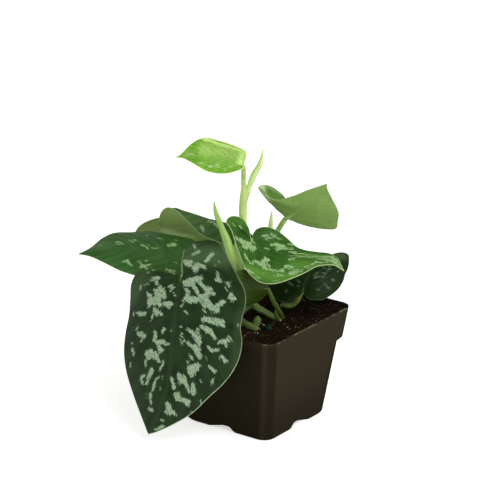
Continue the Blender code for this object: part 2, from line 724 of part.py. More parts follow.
clear_scene()
PARTS = make_collection("potted_satin_pothos")
CUTTERS = make_collection("cutters")
PLANT = bpy.data.objects.new("plant", None)
PARTS.objects.link(PLANT)
PLANT.rotation_euler = (0.0, 0.0, PLANT_TURN)

pot()
soil()
pellet()
leaf_front()
leaf_left()
leaf_centre()
leaf_right()
leaf_top()
leaf_upper_right()
leaf_folded()
leaf_back()
leaf_under()
for stem_name, (stem_guides, stem_colour) in STEMS.items():
    stem(stem_name, stem_guides, stem_colour)
stub()
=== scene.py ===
"""A potted argyraeus satin pothos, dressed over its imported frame.

Guide points are in millimetres. The plant's own frame has x to the right and y away from the side
that it is seen from, and is turned about Z against the pot. Meshes are written in metres.
"""

import logging
import math
from dataclasses import dataclass, field
from enum import Enum
from itertools import product
from typing import Any, Sequence

import bpy
import numpy as np
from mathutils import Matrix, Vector


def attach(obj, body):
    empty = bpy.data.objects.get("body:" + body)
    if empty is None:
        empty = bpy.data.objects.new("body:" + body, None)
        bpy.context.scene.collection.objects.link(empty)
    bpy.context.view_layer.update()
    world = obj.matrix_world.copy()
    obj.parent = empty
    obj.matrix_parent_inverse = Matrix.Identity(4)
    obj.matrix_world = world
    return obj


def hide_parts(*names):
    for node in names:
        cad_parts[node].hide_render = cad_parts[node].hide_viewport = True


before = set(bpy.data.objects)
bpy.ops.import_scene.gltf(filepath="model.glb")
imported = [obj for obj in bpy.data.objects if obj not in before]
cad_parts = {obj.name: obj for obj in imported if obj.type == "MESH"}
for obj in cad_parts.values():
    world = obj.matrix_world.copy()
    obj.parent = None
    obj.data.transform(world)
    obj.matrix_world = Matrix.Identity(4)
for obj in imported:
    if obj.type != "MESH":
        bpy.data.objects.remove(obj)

log = logging.getLogger("satin_pothos")

Array = np.ndarray
Guides = Sequence[Sequence[float]]
Colour = tuple[int, int, int]
Paint = Any

MM = 0.001
PLANT_TURN = math.radians(36.33)
FINE_STEPS = 400
BLADE_BOW = -0.2
NO_MARK = -9.0


# Curves and fields


def unit(vectors: Array) -> Array:
    """Vectors scaled to length one.

    Args:
        vectors: an array whose last axis holds x, y and z.

    Returns:
        The same array, with each vector divided by its own length.
    """
    return vectors / np.maximum(np.linalg.norm(vectors, axis=-1, keepdims=True), 1e-9)


def smooth_route(guides: Guides, count: int) -> Array:
    """Evenly spaced points along the smooth curve through the guide points.

    The curve is a chain of cubic spans, each the blend of its two end points and its two end
    slopes. The knots are spaced by the square root of the distance between guides.

    Args:
        guides: points of x, y and z, with any further columns carried along the same way.
        count: how many points to return.

    Returns:
        The points, one row each.
    """
    guides = np.asarray(guides, float)
    spans = np.linalg.norm(np.diff(guides[:, :3], axis=0), axis=1) ** 0.5
    knots = np.concatenate([[0.0], np.cumsum(spans)])
    slopes = np.diff(guides, axis=0) / spans[:, None]
    shares = (spans[:-1] / (spans[:-1] + spans[1:]))[:, None]
    tangents = np.empty_like(guides)
    tangents[1:-1] = slopes[:-1] * (1.0 - shares) + slopes[1:] * shares
    tangents[0] = 1.5 * slopes[0] - 0.5 * tangents[1]
    tangents[-1] = 1.5 * slopes[-1] - 0.5 * tangents[-2]
    at = np.linspace(0.0, knots[-1], FINE_STEPS)
    span = np.clip(np.searchsorted(knots, at, side="right") - 1, 0, len(spans) - 1)
    width = spans[span][:, None]
    t = (at[:, None] - knots[span][:, None]) / width
    curve = guides[span] * (2 * t**3 - 3 * t**2 + 1)
    curve += tangents[span] * width * (t**3 - 2 * t**2 + t)
    curve += guides[span + 1] * (3 * t**2 - 2 * t**3)
    curve += tangents[span + 1] * width * (t**3 - t**2)
    run = np.concatenate([[0.0], np.cumsum(np.linalg.norm(np.diff(curve[:, :3], axis=0), axis=1))])
    even = np.linspace(0.0, run[-1], count)
    return np.stack([np.interp(even, run, column) for column in curve.T], axis=-1)


def lattice_noise(points: Array, size: float, seed: int) -> Array:
    """Smooth random values from -1 to 1 over space.

    Each corner of a cubic lattice has a random value of its own, and a point takes the blend of
    its eight corners, weighted by the smooth step of its place in the cell.

    Args:
        points: an array whose last axis holds x, y and z.
        size: the lattice's spacing, in the same unit as the points.
        seed: picks one pattern.

    Returns:
        One value for each point.
    """
    cells = np.asarray(points, float) / size
    base = np.floor(cells).astype(np.int64)
    part = cells - base
    ease = part * part * (3.0 - 2.0 * part)
    total = np.zeros(cells.shape[:-1])
    for corner in product((0, 1), repeat=3):
        index = base + np.array(corner)
        key = index[..., 0] * 374761393 + index[..., 1] * 668265263 + index[..., 2] * 2246822519
        key = (key + seed * 3266489917) & 0xFFFFFFFF
        key = ((key ^ (key >> 15)) * 2246822519) & 0xFFFFFFFF
        key = ((key ^ (key >> 13)) * 3266489917) & 0xFFFFFFFF
        value = ((key ^ (key >> 16)) & 0xFFFF) / 32767.5 - 1.0
        weight = np.where(np.array(corner) == 1, ease, 1.0 - ease).prod(axis=-1)
        total += value * weight
    return total


def layered_noise(points: Array, size: float, seed: int, layers: int = 3) -> Array:
    """Lattice noise summed over layers, each with half the size and half the height of the last."""
    total = np.zeros(np.asarray(points).shape[:-1])
    for layer in range(layers):
        total += lattice_noise(points, size * 0.5**layer, seed + layer) * 0.5**layer
    return total


def smooth_step(low: float, high: float, values: Array) -> Array:
    """0 below low, 1 above high, and the smooth cubic step between them."""
    share = np.clip((values - low) / (high - low), 0.0, 1.0)
    return share * share * (3.0 - 2.0 * share)


def stroke_distance(points: Array, starts: Array, ends: Array) -> Array:
    """The distance from each point to each straight stroke.

    A point's foot on a stroke is its dot product with the stroke over the stroke's own, kept
    between the two ends.

    Args:
        points: N points.
        starts: K start points.
        ends: K end points.

    Returns:
        An N by K array of distances.
    """
    run = ends - starts
    away = points[:, None] - starts[None]
    foot = np.clip((away * run).sum(-1) / np.maximum((run * run).sum(-1), 1e-6), 0.0, 1.0)
    return np.linalg.norm(away - foot[..., None] * run, axis=-1)


def turned(points: Array) -> Array:
    """Points of the plant's frame, turned about Z into the pot's."""
    c, s = math.cos(PLANT_TURN), math.sin(PLANT_TURN)
    x, y, z = np.moveaxis(np.asarray(points, float), -1, 0)
    return np.stack([x * c - y * s, x * s + y * c, z], axis=-1)


# Meshes


@dataclass
class Skin:
    """A mesh in the making: points, triangles, and what each point or triangle carries."""

    points: Array
    triangles: Array
    fields: dict[str, Array] = field(default_factory=dict)
    slots: Array | None = None

    @staticmethod
    def from_grids(grids: Sequence["Grid"]) -> "Skin":
        """One closed skin from grids that meet at their edges.

        Points closer than a tenth of a micrometre are merged and triangles that lose a corner
        to that are dropped, which closes every seam and pole.
        """
        points = np.concatenate([grid.points.reshape(-1, 3) for grid in grids])
        names = grids[0].fields.keys()
        fields = {
            name: np.concatenate([grid.flat(name) for grid in grids]) for name in names
        }
        keys = np.round(points, 4) + 0.0
        _, first, index = np.unique(keys, axis=0, return_index=True, return_inverse=True)
        index = index.reshape(-1)
        triangles, slots, offset = [], [], 0
        for grid in grids:
            made = index[grid.triangles() + offset]
            made = made[(made != np.roll(made, 1, axis=1)).all(axis=1)]
            triangles.append(made)
            slots.append(np.full(len(made), grid.slot))
            offset += grid.points.shape[0] * grid.points.shape[1]
        return Skin(
            points[first],
            np.concatenate(triangles),
            {name: values[first] for name, values in fields.items()},
            np.concatenate(slots),
        )

    def make(self, name: str, finishes: Sequence[bpy.types.Material], slot: str) -> bpy.types.Object:
        """The object of this skin, riding on the root body.

        Args:
            name: the object's name.
            finishes: its materials, in the order of the skin's slots.
            slot: the record's slot for the piece; not used.

        Returns:
            The new object.
        """
        mesh = bpy.data.meshes.new(name)
        count = len(self.triangles)
        mesh.vertices.add(len(self.points))
        mesh.vertices.foreach_set("co", (self.points * MM).astype(np.float32).ravel())
        mesh.loops.add(count * 3)
        mesh.loops.foreach_set("vertex_index", self.triangles.astype(np.int32).ravel())
        mesh.polygons.add(count)
        mesh.polygons.foreach_set("loop_start", np.arange(0, count * 3, 3, dtype=np.int32))
        mesh.polygons.foreach_set("use_smooth", np.ones(count, bool))
        for finish in finishes:
            mesh.materials.append(finish)
        if self.slots is not None:
            mesh.polygons.foreach_set("material_index", self.slots.astype(np.int32))
        for label, values in self.fields.items():
            kind, key = ("FLOAT_VECTOR", "vector") if values.ndim == 2 else ("FLOAT", "value")
            layer = mesh.attributes.new(label, kind, "POINT")
            layer.data.foreach_set(key, values.astype(np.float32).ravel())
        mesh.update(calc_edges=True)
        mesh.validate()
        made = bpy.data.objects.new(name, mesh)
        bpy.context.scene.collection.objects.link(made)
        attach(made, "root")
        return made


@dataclass
class Grid:
    """A sheet of points, rows by columns, that faces the side its columns cross its rows to."""

    points: Array
    fields: dict[str, Array] = field(default_factory=dict)
    wrap: bool = False
    flip: bool = False
    slot: int = 0

    def flat(self, name: str) -> Array:
        """One field as a flat list, a value or a vector for each point."""
        values = np.asarray(self.fields[name], float)
        return values.reshape(-1, 3) if values.ndim == 3 else values.ravel()

    def triangles(self) -> Array:
        """Two triangles for each cell, as indices into the flattened grid."""
        rows, columns = self.points.shape[:2]
        index = np.arange(rows * columns).reshape(rows, columns)
        if self.wrap:
            index = np.concatenate([index, index[:, :1]], axis=1)
        a, b = index[:-1, :-1].ravel(), index[:-1, 1:].ravel()
        c, d = index[1:, 1:].ravel(), index[1:, :-1].ravel()
        made = np.concatenate([np.stack([a, b, c], -1), np.stack([a, c, d], -1)])
        return made[:, ::-1] if self.flip else made


# Finishes


def srgb(colour: Colour) -> tuple[float, float, float, float]:
    """An 8-bit sRGB colour as linear shares with full alpha."""
    shares = [level / 255.0 for level in colour]
    lines = [s / 12.92 if s <= 0.04045 else ((s + 0.055) / 1.055) ** 2.4 for s in shares]
    return (lines[0], lines[1], lines[2], 1.0)


class Value:
    """A number socket that stands in Python expressions, each of which adds its Math node."""

    def __init__(self, recipe: "Recipe", socket: bpy.types.NodeSocket) -> None:
        """Wraps one output socket of a recipe's tree."""
        self.recipe = recipe
        self.socket = socket

    def _math(self, operation: str, *terms: "Value | float") -> "Value":
        """One Math node of the given operation on the terms."""
        node = self.recipe.node("ShaderNodeMath", {"operation": operation}, dict(enumerate(terms)))
        return Value(self.recipe, node.outputs[0])

    def __add__(self, other: "Value | float") -> "Value":
        """Sum."""
        return self._math("ADD", self, other)

    def __radd__(self, other: float) -> "Value":
        """Sum, the other way round."""
        return self._math("ADD", other, self)

    def __sub__(self, other: "Value | float") -> "Value":
        """Difference."""
        return self._math("SUBTRACT", self, other)

    def __rsub__(self, other: float) -> "Value":
        """Difference, the other way round."""
        return self._math("SUBTRACT", other, self)

    def __mul__(self, other: "Value | float") -> "Value":
        """Product."""
        return self._math("MULTIPLY", self, other)

    def __rmul__(self, other: float) -> "Value":
        """Product, the other way round."""
        return self._math("MULTIPLY", other, self)

    def __truediv__(self, other: "Value | float") -> "Value":
        """Quotient."""
        return self._math("DIVIDE", self, other)

    def size(self) -> "Value":
        """The value without its sign."""
        return self._math("ABSOLUTE", self)

    def cosine(self) -> "Value":
        """The cosine of the value."""
        return self._math("COSINE", self)

    def least(self, other: "Value | float") -> "Value":
        """The smaller of two values."""
        return self._math("MINIMUM", self, other)

    def most(self, other: "Value | float") -> "Value":
        """The larger of two values."""
        return self._math("MAXIMUM", self, other)

    def fraction(self) -> "Value":
        """The part of the value behind the point."""
        return self._math("FRACT", self)

    def ease(self, low: float, high: float, start: float = 0.0, end: float = 1.0) -> "Value":
        """The smooth step from start, at low, to end, at high."""
        node = self.recipe.node(
            "ShaderNodeMapRange",
            {"interpolation_type": "SMOOTHSTEP"},
            {"Value": self, "From Min": low, "From Max": high, "To Min": start, "To Max": end},
        )
        return Value(self.recipe, node.outputs[0])


class Recipe:
    """A material in the making, with its shader and the one way to add a node to its tree."""

    def __init__(self, name: str) -> None:
        """Starts a material of the given name."""
        self.material = bpy.data.materials.new(name)
        self.material.use_nodes = True
        self.tree = self.material.node_tree
        self.shader = self.tree.nodes["Principled BSDF"]

    def node(self, kind: str, settings: dict[str, Any] | None = None, inputs: dict | None = None) -> Any:
        """Adds a node.

        Args:
            kind: the node's type.
            settings: its properties, set before its sockets. "stops" fills a colour ramp with
                pairs of place and colour.
            inputs: values or links by socket name or number.

        Returns:
            The new node.
        """
        made = self.tree.nodes.new(kind)
        for key, setting in (settings or {}).items():
            if key == "stops":
                self._fill_ramp(made.color_ramp, setting)
            else:
                setattr(made, key, setting)
        for key, term in (inputs or {}).items():
            self.feed(made.inputs[key], term)
        return made

    @staticmethod
    def _fill_ramp(ramp: bpy.types.ColorRamp, stops: Sequence[tuple[float, Colour]]) -> None:
        """Gives a ramp its stops."""
        while len(ramp.elements) < len(stops):
            ramp.elements.new(0.5)
        for element, (place, colour) in zip(ramp.elements, stops):
            element.position = place
            element.color = srgb(colour)

    def feed(self, socket: bpy.types.NodeSocket, term: Any) -> None:
        """Links a value or a socket to a socket, or sets its number, vector or colour."""
        source = term.socket if isinstance(term, Value) else term
        if isinstance(source, bpy.types.NodeSocket):
            self.tree.links.new(source, socket)
        else:
            socket.default_value = source

    def number(self, name: str) -> Value:
        """A number that the piece's points carry."""
        node = self.node("ShaderNodeAttribute", {"attribute_name": name})
        return Value(self, node.outputs["Fac"])

    def vector(self, name: str) -> Paint:
        """A vector that the piece's points carry."""
        return self.node("ShaderNodeAttribute", {"attribute_name": name}).outputs["Vector"]

    def place(self) -> Paint:
        """The point's own place in the object."""
        return self.node("ShaderNodeTexCoord").outputs["Object"]

    def scaled(self, vector: Paint, scale: tuple[float, float, float]) -> Paint:
        """A vector stretched along each axis."""
        node = self.node("ShaderNodeVectorMath", {"operation": "MULTIPLY"}, {0: vector, 1: scale})
        return node.outputs[0]

    def noise(self, vector: Paint, scale: float, detail: float = 3.0, rough: float = 0.55) -> Value:
        """Soft noise from 0 to 1, mostly near the middle."""
        inputs = {"Vector": vector, "Scale": scale, "Detail": detail, "Roughness": rough}
        return Value(self, self.node("ShaderNodeTexNoise", None, inputs).outputs["Fac"])

    def cells(self, vector: Paint, scale: float, feature: str = "F1") -> Value:
        """The distance to the middle, or to the border, of scattered cells."""
        inputs = {"Vector": vector, "Scale": scale}
        node = self.node("ShaderNodeTexVoronoi", {"feature": feature}, inputs)
        return Value(self, node.outputs["Distance"])

    def mix(self, share: "Value | float", first: Paint, second: Paint) -> Paint:
        """A colour between two, given by a share from 0 to 1."""
        colours = [srgb(term) if isinstance(term, tuple) else term for term in (first, second)]
        inputs = {0: share, 6: colours[0], 7: colours[1]}
        node = self.node("ShaderNodeMix", {"data_type": "RGBA", "clamp_factor": True}, inputs)
        return node.outputs[2]

    def bump(self, height: Value, distance: float, strength: float = 1.0) -> Paint:
        """A normal bent by a height, whose full span is the distance in millimetres."""
        inputs = {"Strength": strength, "Distance": distance * MM, "Height": height}
        return self.node("ShaderNodeBump", None, inputs).outputs[0]

    def finish(self, **sockets: Any) -> bpy.types.Material:
        """Feeds the shader's sockets, whose names use _ for a space, and returns the material."""
        for key, term in sockets.items():
            socket = self.shader.inputs[key.replace("_", " ")]
            self.feed(socket, srgb(term) if isinstance(term, tuple) and len(term) == 3 else term)
        return self.material


@dataclass(frozen=True)
class LeafFinish:
    """The colours of one leaf, both faces, with the depth of its marks."""

    deep: Colour
    mid: Colour
    # Pale green of the painted sheen, also of the rib's shoulders and of small flecks.
    sheen_and_fleck: Colour
    silver: Colour
    silver_deep: Colour
    margin: Colour
    under: Colour
    under_deep: Colour
    under_vein: Colour
    margin_width: float = 0.7
    roughness: float = 0.42
    band: float = 0.35
    rag: float = 4.2
    swell: float = 0.1
    rims: tuple[float, float] = (0.85, 0.85)
    rim_growth: float = 0.0
    veins: float = 1.0
    texture: float = 0.7
    dapple: float = 0.0

    def upper(self, name: str) -> bpy.types.Material:
        """The satin upper face.

        The ground runs between two greens with soft clouds and with the bands between side
        veins. Silver lies where the carried distance to the nearest mark, plus noise drawn out
        along the veins, is above zero. The margin is a thin pale line of uneven width.
        """
        recipe = Recipe(name)
        place = recipe.place()
        flow = recipe.vector("flow")
        across = recipe.number("across")
        clouds = recipe.noise(place, 55.0, 3.0)
        drawn = recipe.scaled(flow, (1.0, 0.42, 1.0))
        ragged = recipe.noise(drawn, 0.55, 2.0, 0.6) - 0.5
        fine = recipe.noise(drawn, 1.25, 2.0, 0.6) - 0.5
        grain = recipe.noise(place, 2600.0, 2.0)
        vein = recipe.number("vein")
        band = ((vein * (2.0 * math.pi)).cosine() * 0.5 + 0.5) * (across.size() / 6.0).least(1.0)
        mottle = recipe.noise(place, 1150.0, 2.0)
        speckle = (mottle - 0.5) * self.texture
        share = (clouds * 1.5 - 0.3 + band * self.band + speckle * 1.6).least(1.0).most(0.0)
        ground = recipe.mix(share, self.deep, self.mid)
        # Painted sheen: the ground turns to the pale sheen colour where the leaf carries it.
        sheen_share = recipe.number("sheen_and_fleck")
        ground = recipe.mix(sheen_share + speckle * 1.6 * sheen_share, ground, self.sheen_and_fleck)
        rib = (across.size() + fine * 0.3).ease(2.2, 0.9)
        ground = recipe.mix(rib * 0.12, ground, self.sheen_and_fleck)
        groove = (across.size() + fine * 0.3).ease(0.6, 0.1)
        ground = recipe.mix(groove * 0.28, ground, self.deep)
        mark = recipe.number("silver") + ragged * self.rag + fine * 2.6 + self.swell
        silver = mark.ease(-0.07, 0.15)
        veil = mark.ease(-1.2, 0.2) * 0.04
        shine = recipe.mix(mottle.ease(0.36, 0.64), self.silver_deep, self.silver)
        colour = recipe.mix(veil, ground, self.silver)
        colour = recipe.mix(silver * (0.86 + grain * 0.14), colour, shine)
        if self.dapple:
            near = recipe.number("edge").ease(7.0, 1.0) * across.ease(1.0, -1.0)
            spots = recipe.noise(place, 850.0, 2.0, 0.7).ease(0.5, 0.62) * self.dapple
            colour = recipe.mix(spots * (near + vein.ease(7.4, 9.6)).least(1.0), colour, self.deep)
        fleck = recipe.noise(place, 1500.0, 1.0).ease(0.66, 0.74) * 0.25
        colour = recipe.mix(fleck * (1.0 - silver), colour, self.sheen_and_fleck)
        edge = recipe.number("edge") + (recipe.noise(place, 160.0) - 0.5) * 0.7
        rim = edge.ease(self.margin_width, self.margin_width * 0.35)
        side = across.ease(-1.0, 1.0, self.rims[0], self.rims[1])
        grown = vein.ease(-1.0, 0.8) * 0.4 + vein.ease(2.5, 5.0) * 0.6
        side = side * (grown * self.rim_growth + (1.0 - self.rim_growth))
        colour = recipe.mix(rim * side, colour, self.margin)
        height = grain * 0.5 + silver * 0.35 + recipe.noise(place, 700.0, 2.0) * 0.9
        return recipe.finish(
            Base_Color=colour,
            Roughness=self.roughness + silver * 0.1 + (clouds - 0.5) * 0.12,
            Normal=recipe.bump(height, 0.09, 0.6),
            Specular_IOR_Level=0.12,
        )

    def lower(self, name: str) -> bpy.types.Material:
        """The paler under face, with its rib, side veins and fine net lighter than the rest."""
        recipe = Recipe(name)
        place = recipe.place()
        across = recipe.number("across")
        clouds = recipe.noise(place, 60.0, 4.0)
        vein = recipe.number("vein")
        line = ((vein.fraction() - 0.5).size() * -1.0 + 0.5).ease(0.13, 0.0)
        flow = recipe.scaled(recipe.vector("flow"), (1.0, 0.5, 1.0))
        net = recipe.cells(flow, 0.55, "DISTANCE_TO_EDGE")
        speckle = (recipe.noise(place, 1150.0, 2.0) - 0.5) * self.texture
        tone = (clouds * 1.6 - 0.3 + speckle * 1.8).least(1.0).most(0.0)
        ground = recipe.mix(tone, self.under_deep, self.under)
        # Painted sheen, weaker on the under face.
        sheen_share = recipe.number("sheen_and_fleck") * 0.8
        ground = recipe.mix(sheen_share + speckle * 1.2 * sheen_share, ground, self.sheen_and_fleck)
        away = (across.size() / 4.0).least(1.0)
        ground = recipe.mix(net.ease(0.1, 0.0) * 0.14, ground, self.under_vein)
        ground = recipe.mix(line * away * (0.35 * self.veins), ground, self.under_vein)
        rib = across.size().ease(1.3, 0.5)
        ground = recipe.mix(rib * (0.7 * self.veins), ground, self.under_vein)
        edge = recipe.number("edge")
        ground = recipe.mix(edge.ease(self.margin_width, 0.2) * 0.8, ground, self.margin)
        pores = recipe.noise(place, 2400.0, 2.0)
        height = pores * 0.5 + line * away * 1.2 + net.ease(0.12, 0.0) * 0.4
        return recipe.finish(
            Base_Color=ground,
            Roughness=0.5 + (clouds - 0.5) * 0.15,
            Normal=recipe.bump(height, 0.1, 0.6),
            Specular_IOR_Level=0.12,
        )


def across_shares(columns: int) -> Array:
    """Places from rib to margin, 0 to 1, closer together beside the rib and at the margin."""
    middle = np.linspace(0.075, 0.93, columns)
    near = np.array([0.0, 0.013, 0.028, 0.048])
    far = np.array([0.95, 0.967, 0.98, 0.99, 0.996, 1.0])
    return np.concatenate([near, middle, far])


def signed_shares(columns: int) -> Array:
    """The places across a whole blade, from -1 at the left margin over the rib to 1 at the right."""
    sides = across_shares(columns)
    return np.concatenate([-sides[:0:-1], sides])


class Side(Enum):
    """The two halves of a leaf, seen from above with its tip ahead."""

    LEFT = "left"
    RIGHT = "right"


@dataclass
class Blade:
    """One leaf: a sheet lofted between its rib and its two margins, with two skins.

    The marks are strokes given by their ends and half-width: share along the margin, signed
    share from the rib (left negative), the same for the far end, and half-width in millimetres.
    The sheen strokes, of the same kind with a soft reach and a strength, are painted sheen.
    """

    name: str
    rib: Guides
    left: Guides
    right: Guides
    bulge: tuple[Sequence[float], Sequence[float]]
    lobe: float
    finish: LeafFinish
    slot: str
    marks: Sequence[Sequence[float]] = ()
    sheen_washes: Sequence[Sequence[float]] = ()
    scatter: int = 0
    scatter_sides: tuple[float, float] = (-1.0, 1.0)
    seed: int = 1
    rows: int = 110
    columns: int = 24
    thickness: float = 0.62
    vein_pairs: float = 11.0
    groove: float = 0.22
    keel: float = 0.55
    wave: float = 0.35
    quilt: float = 0.1

    def half(self, side: Side) -> Array:
        """One side of the sheet, as rows of points from the rib to the margin.

        A row is the straight line from the rib to the margin, plus a lift along the upper
        normal and a bow along the rib that both go as s (1 - s) times the row's length. The
        rows of the first share of the margin fan out from the base.
        """
        margin, bulge = (self.left, self.bulge[0]) if side is Side.LEFT else (self.right, self.bulge[1])
        share = np.linspace(0.0, 1.0, self.rows + 1)
        edge = smooth_route([self.rib[0], *margin, self.rib[-1]], self.rows + 1)
        spine = smooth_route(self.rib, FINE_STEPS)
        heading = unit(np.gradient(spine, axis=0))
        along = np.clip((share - self.lobe) / (1.0 - self.lobe), 0.0, 1.0) * (FINE_STEPS - 1)
        steps = np.arange(FINE_STEPS)
        root = np.stack([np.interp(along, steps, column) for column in spine.T], axis=-1)
        ahead = unit(np.stack([np.interp(along, steps, column) for column in heading.T], axis=-1))
        reach = edge - root
        length = np.linalg.norm(reach, axis=-1)[:, None, None]
        upward = np.cross(reach, ahead) if side is Side.RIGHT else np.cross(ahead, reach)
        across = across_shares(self.columns)[None, :, None]
        lift = np.interp(share, np.linspace(0.0, 1.0, len(bulge)), bulge)[:, None, None]
        belly = across * (1.0 - across) * length
        flat = root[:, None] + reach[:, None] * across
        return flat + unit(upward)[:, None] * 4.0 * lift * belly + ahead[:, None] * BLADE_BOW * belly

    def sheet(self) -> Array:
        """Both halves side by side, from the left margin over the rib to the right margin."""
        return np.concatenate([self.half(Side.LEFT)[:, :0:-1], self.half(Side.RIGHT)], axis=1)

    def normals(self, sheet: Array) -> Array:
        """Upper normals: the step to the next column crossed with the step to the next row."""
        made = unit(np.cross(np.gradient(sheet, axis=1), np.gradient(sheet, axis=0)))
        middle = sheet.shape[1] // 2
        fan = int(self.lobe * self.rows) + 1
        made[: fan + 1, middle] = unit(made[1:fan, middle - 4 : middle + 5].sum(axis=(0, 1)))
        made[0] = made[0, middle]
        made[-1] = made[-2, middle]
        return made

    def point(self, sheet: Array, places: Array) -> Array:
        """Points of the sheet at pairs of share along and signed share across."""
        signed = signed_shares(self.columns)
        column = np.interp(places[:, 1], signed, np.arange(len(signed)))
        row = np.clip(places[:, 0], 0.0, 1.0) * self.rows
        i = np.clip(np.floor(row).astype(int), 0, self.rows - 1)
        j = np.clip(np.floor(column).astype(int), 0, sheet.shape[1] - 2)
        a, b = (row - i)[:, None], (column - j)[:, None]
        low = sheet[i, j] * (1 - b) + sheet[i, j + 1] * b
        high = sheet[i + 1, j] * (1 - b) + sheet[i + 1, j + 1] * b
        return low * (1 - a) + high * a

    def scattered(self) -> Array:
        """Seeded marks that follow the side veins, short and long, in loose clusters."""
        random = np.random.default_rng(self.seed)
        count = self.scatter
        low, high = self.scatter_sides
        home = np.stack([random.uniform(0.12, 0.93, count), random.uniform(low, high, count)], -1)
        home[:, 1] = np.sign(home[:, 1]) * np.clip(np.abs(home[:, 1]), 0.12, 0.88)
        size = random.uniform(0.25, 1.0, count) ** 2
        reach = 0.02 + 0.09 * size
        away = np.sign(home[:, 1]) * reach * random.uniform(0.3, 1.1, count)
        far = np.stack([home[:, 0] + reach * random.uniform(-0.1, 0.5, count), home[:, 1] + away], -1)
        far[:, 1] = np.clip(far[:, 1], -0.92, 0.92)
        return np.concatenate([home, far, (0.3 + 1.2 * size)[:, None]], axis=1)

    def stroke_field(self, sheet: Array, strokes: Array) -> Array:
        """The largest of each stroke's half-width less its distance, kept to its own half."""
        starts = self.point(sheet, strokes[:, :2])
        ends = self.point(sheet, strokes[:, 2:4])
        inside = strokes[:, 4] - stroke_distance(sheet.reshape(-1, 3), starts, ends)
        inside = inside.reshape(*sheet.shape[:2], -1)
        middle = sheet.shape[1] // 2
        side = np.sign(np.arange(sheet.shape[1]) - middle)
        other = side[None, :, None] * np.sign(strokes[:, 1] + strokes[:, 3])[None, None] < 0
        return np.where(other, NO_MARK, inside).max(axis=-1)

    def rib_end(self) -> tuple[Array, Array, Array]:
        """The base point, the rib's heading there and the upper normal."""
        sheet = self.sheet()
        normal = self.normals(sheet)[0, sheet.shape[1] // 2]
        spine = smooth_route(self.rib, FINE_STEPS)
        return spine[0], unit(spine[12] - spine[0]), normal

    def build(self) -> bpy.types.Object:
        """Builds the closed blade.

        Half the thickness at a point is the thickness times a quarter round of its distance to
        the margin. A groove over the rib and a keel under it go as exp(-(q / w)^2) of the
        distance q to the rib, quilting as the cosine of the vein count, and both thin out to
        nothing at the margin and the tip.

        Returns:
            The blade's object.
        """
        sheet = self.sheet()
        rows, columns = sheet.shape[:2]
        middle = columns // 2
        share = np.linspace(0.0, 1.0, rows)[:, None]
        signed = signed_shares(self.columns)[None, :]
        normal = self.normals(sheet)
        rim = np.concatenate([sheet[:, 0], sheet[:, -1]])
        fine = np.concatenate([rim[:-1] * (1 - t) + rim[1:] * t for t in (0.0, 0.25, 0.5, 0.75)])
        flat = sheet.reshape(-1, 3)
        square = (flat**2).sum(1)[:, None] + (fine**2).sum(1)[None] - 2.0 * flat @ fine.T
        edge = np.sqrt(np.maximum(square.min(axis=1), 0.0)).reshape(rows, columns)
        edge[:, 0] = edge[:, -1] = edge[0] = edge[-1] = 0.0
        across = np.linalg.norm(sheet - sheet[:, middle : middle + 1], axis=-1)
        along = np.linalg.norm(np.diff(sheet[:, middle], axis=0), axis=1).cumsum()
        along = np.concatenate([[0.0], along])[:, None] * np.ones_like(signed)
        taper = 1.0 - share**2
        window = smooth_step(0.0, 2.5, edge)
        vein = self.vein_pairs * (share - 0.26 * np.abs(signed) ** 1.2 * (1 - 0.5 * share**2))
        vein = vein + 0.25 * lattice_noise(sheet, 14.0, self.seed + 5) * np.abs(signed)
        roll = layered_noise(sheet, 26.0, self.seed + 9, 2) * np.abs(signed) ** 1.4
        roll = self.wave * roll * np.sin(math.pi * share) ** 0.7
        moved = sheet + normal * roll[..., None]
        quilt = self.quilt * np.cos(2.0 * math.pi * vein) * window * smooth_step(1.0, 7.0, across)
        valley = np.exp(-((across / 1.15) ** 2)) * window * taper
        dome = np.sqrt(1.0 - (1.0 - np.clip(edge / 0.55, 0.0, 1.0)) ** 2) * self.thickness / 2
        top = dome + quilt - self.groove * valley
        low = dome - quilt * 0.8 + self.keel * valley
        strokes = np.asarray(self.marks, float).reshape(-1, 5)
        if self.scatter:
            strokes = np.concatenate([strokes, self.scattered()])
        silver = self.stroke_field(sheet, strokes) if len(strokes) else np.full(edge.shape, NO_MARK)
        # Painted sheen: lighter zones that stand in for light glancing off the leaf.
        sheen_and_fleck = np.zeros(edge.shape)
        for *ends, reach, strength in self.sheen_washes:
            soft = self.stroke_field(sheet, np.array([[*ends, reach]])) / reach
            sheen_and_fleck = np.maximum(sheen_and_fleck, strength * smooth_step(0.0, 0.8, soft))
        length = np.linalg.norm(np.diff(rim[:rows], axis=0), axis=1).sum()
        flow = np.stack([vein / self.vein_pairs * length, across * np.sign(signed), 0 * edge], -1)
        fields = {
            "silver": silver,
            "sheen_and_fleck": sheen_and_fleck,
            "edge": edge,
            "across": across * np.sign(signed),
            "vein": vein,
            "flow": flow,
        }
        upper = Grid(turned(moved + normal * top[..., None]), fields, slot=0)
        lower = Grid(turned(moved - normal * low[..., None]), fields, flip=True, slot=1)
        skin = Skin.from_grids([upper, lower])
        finishes = [self.finish.upper(self.name + "_upper"), self.finish.lower(self.name + "_under")]
        made = skin.make("dressed_" + self.name, finishes, self.slot)
        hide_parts(self.name)
        return made


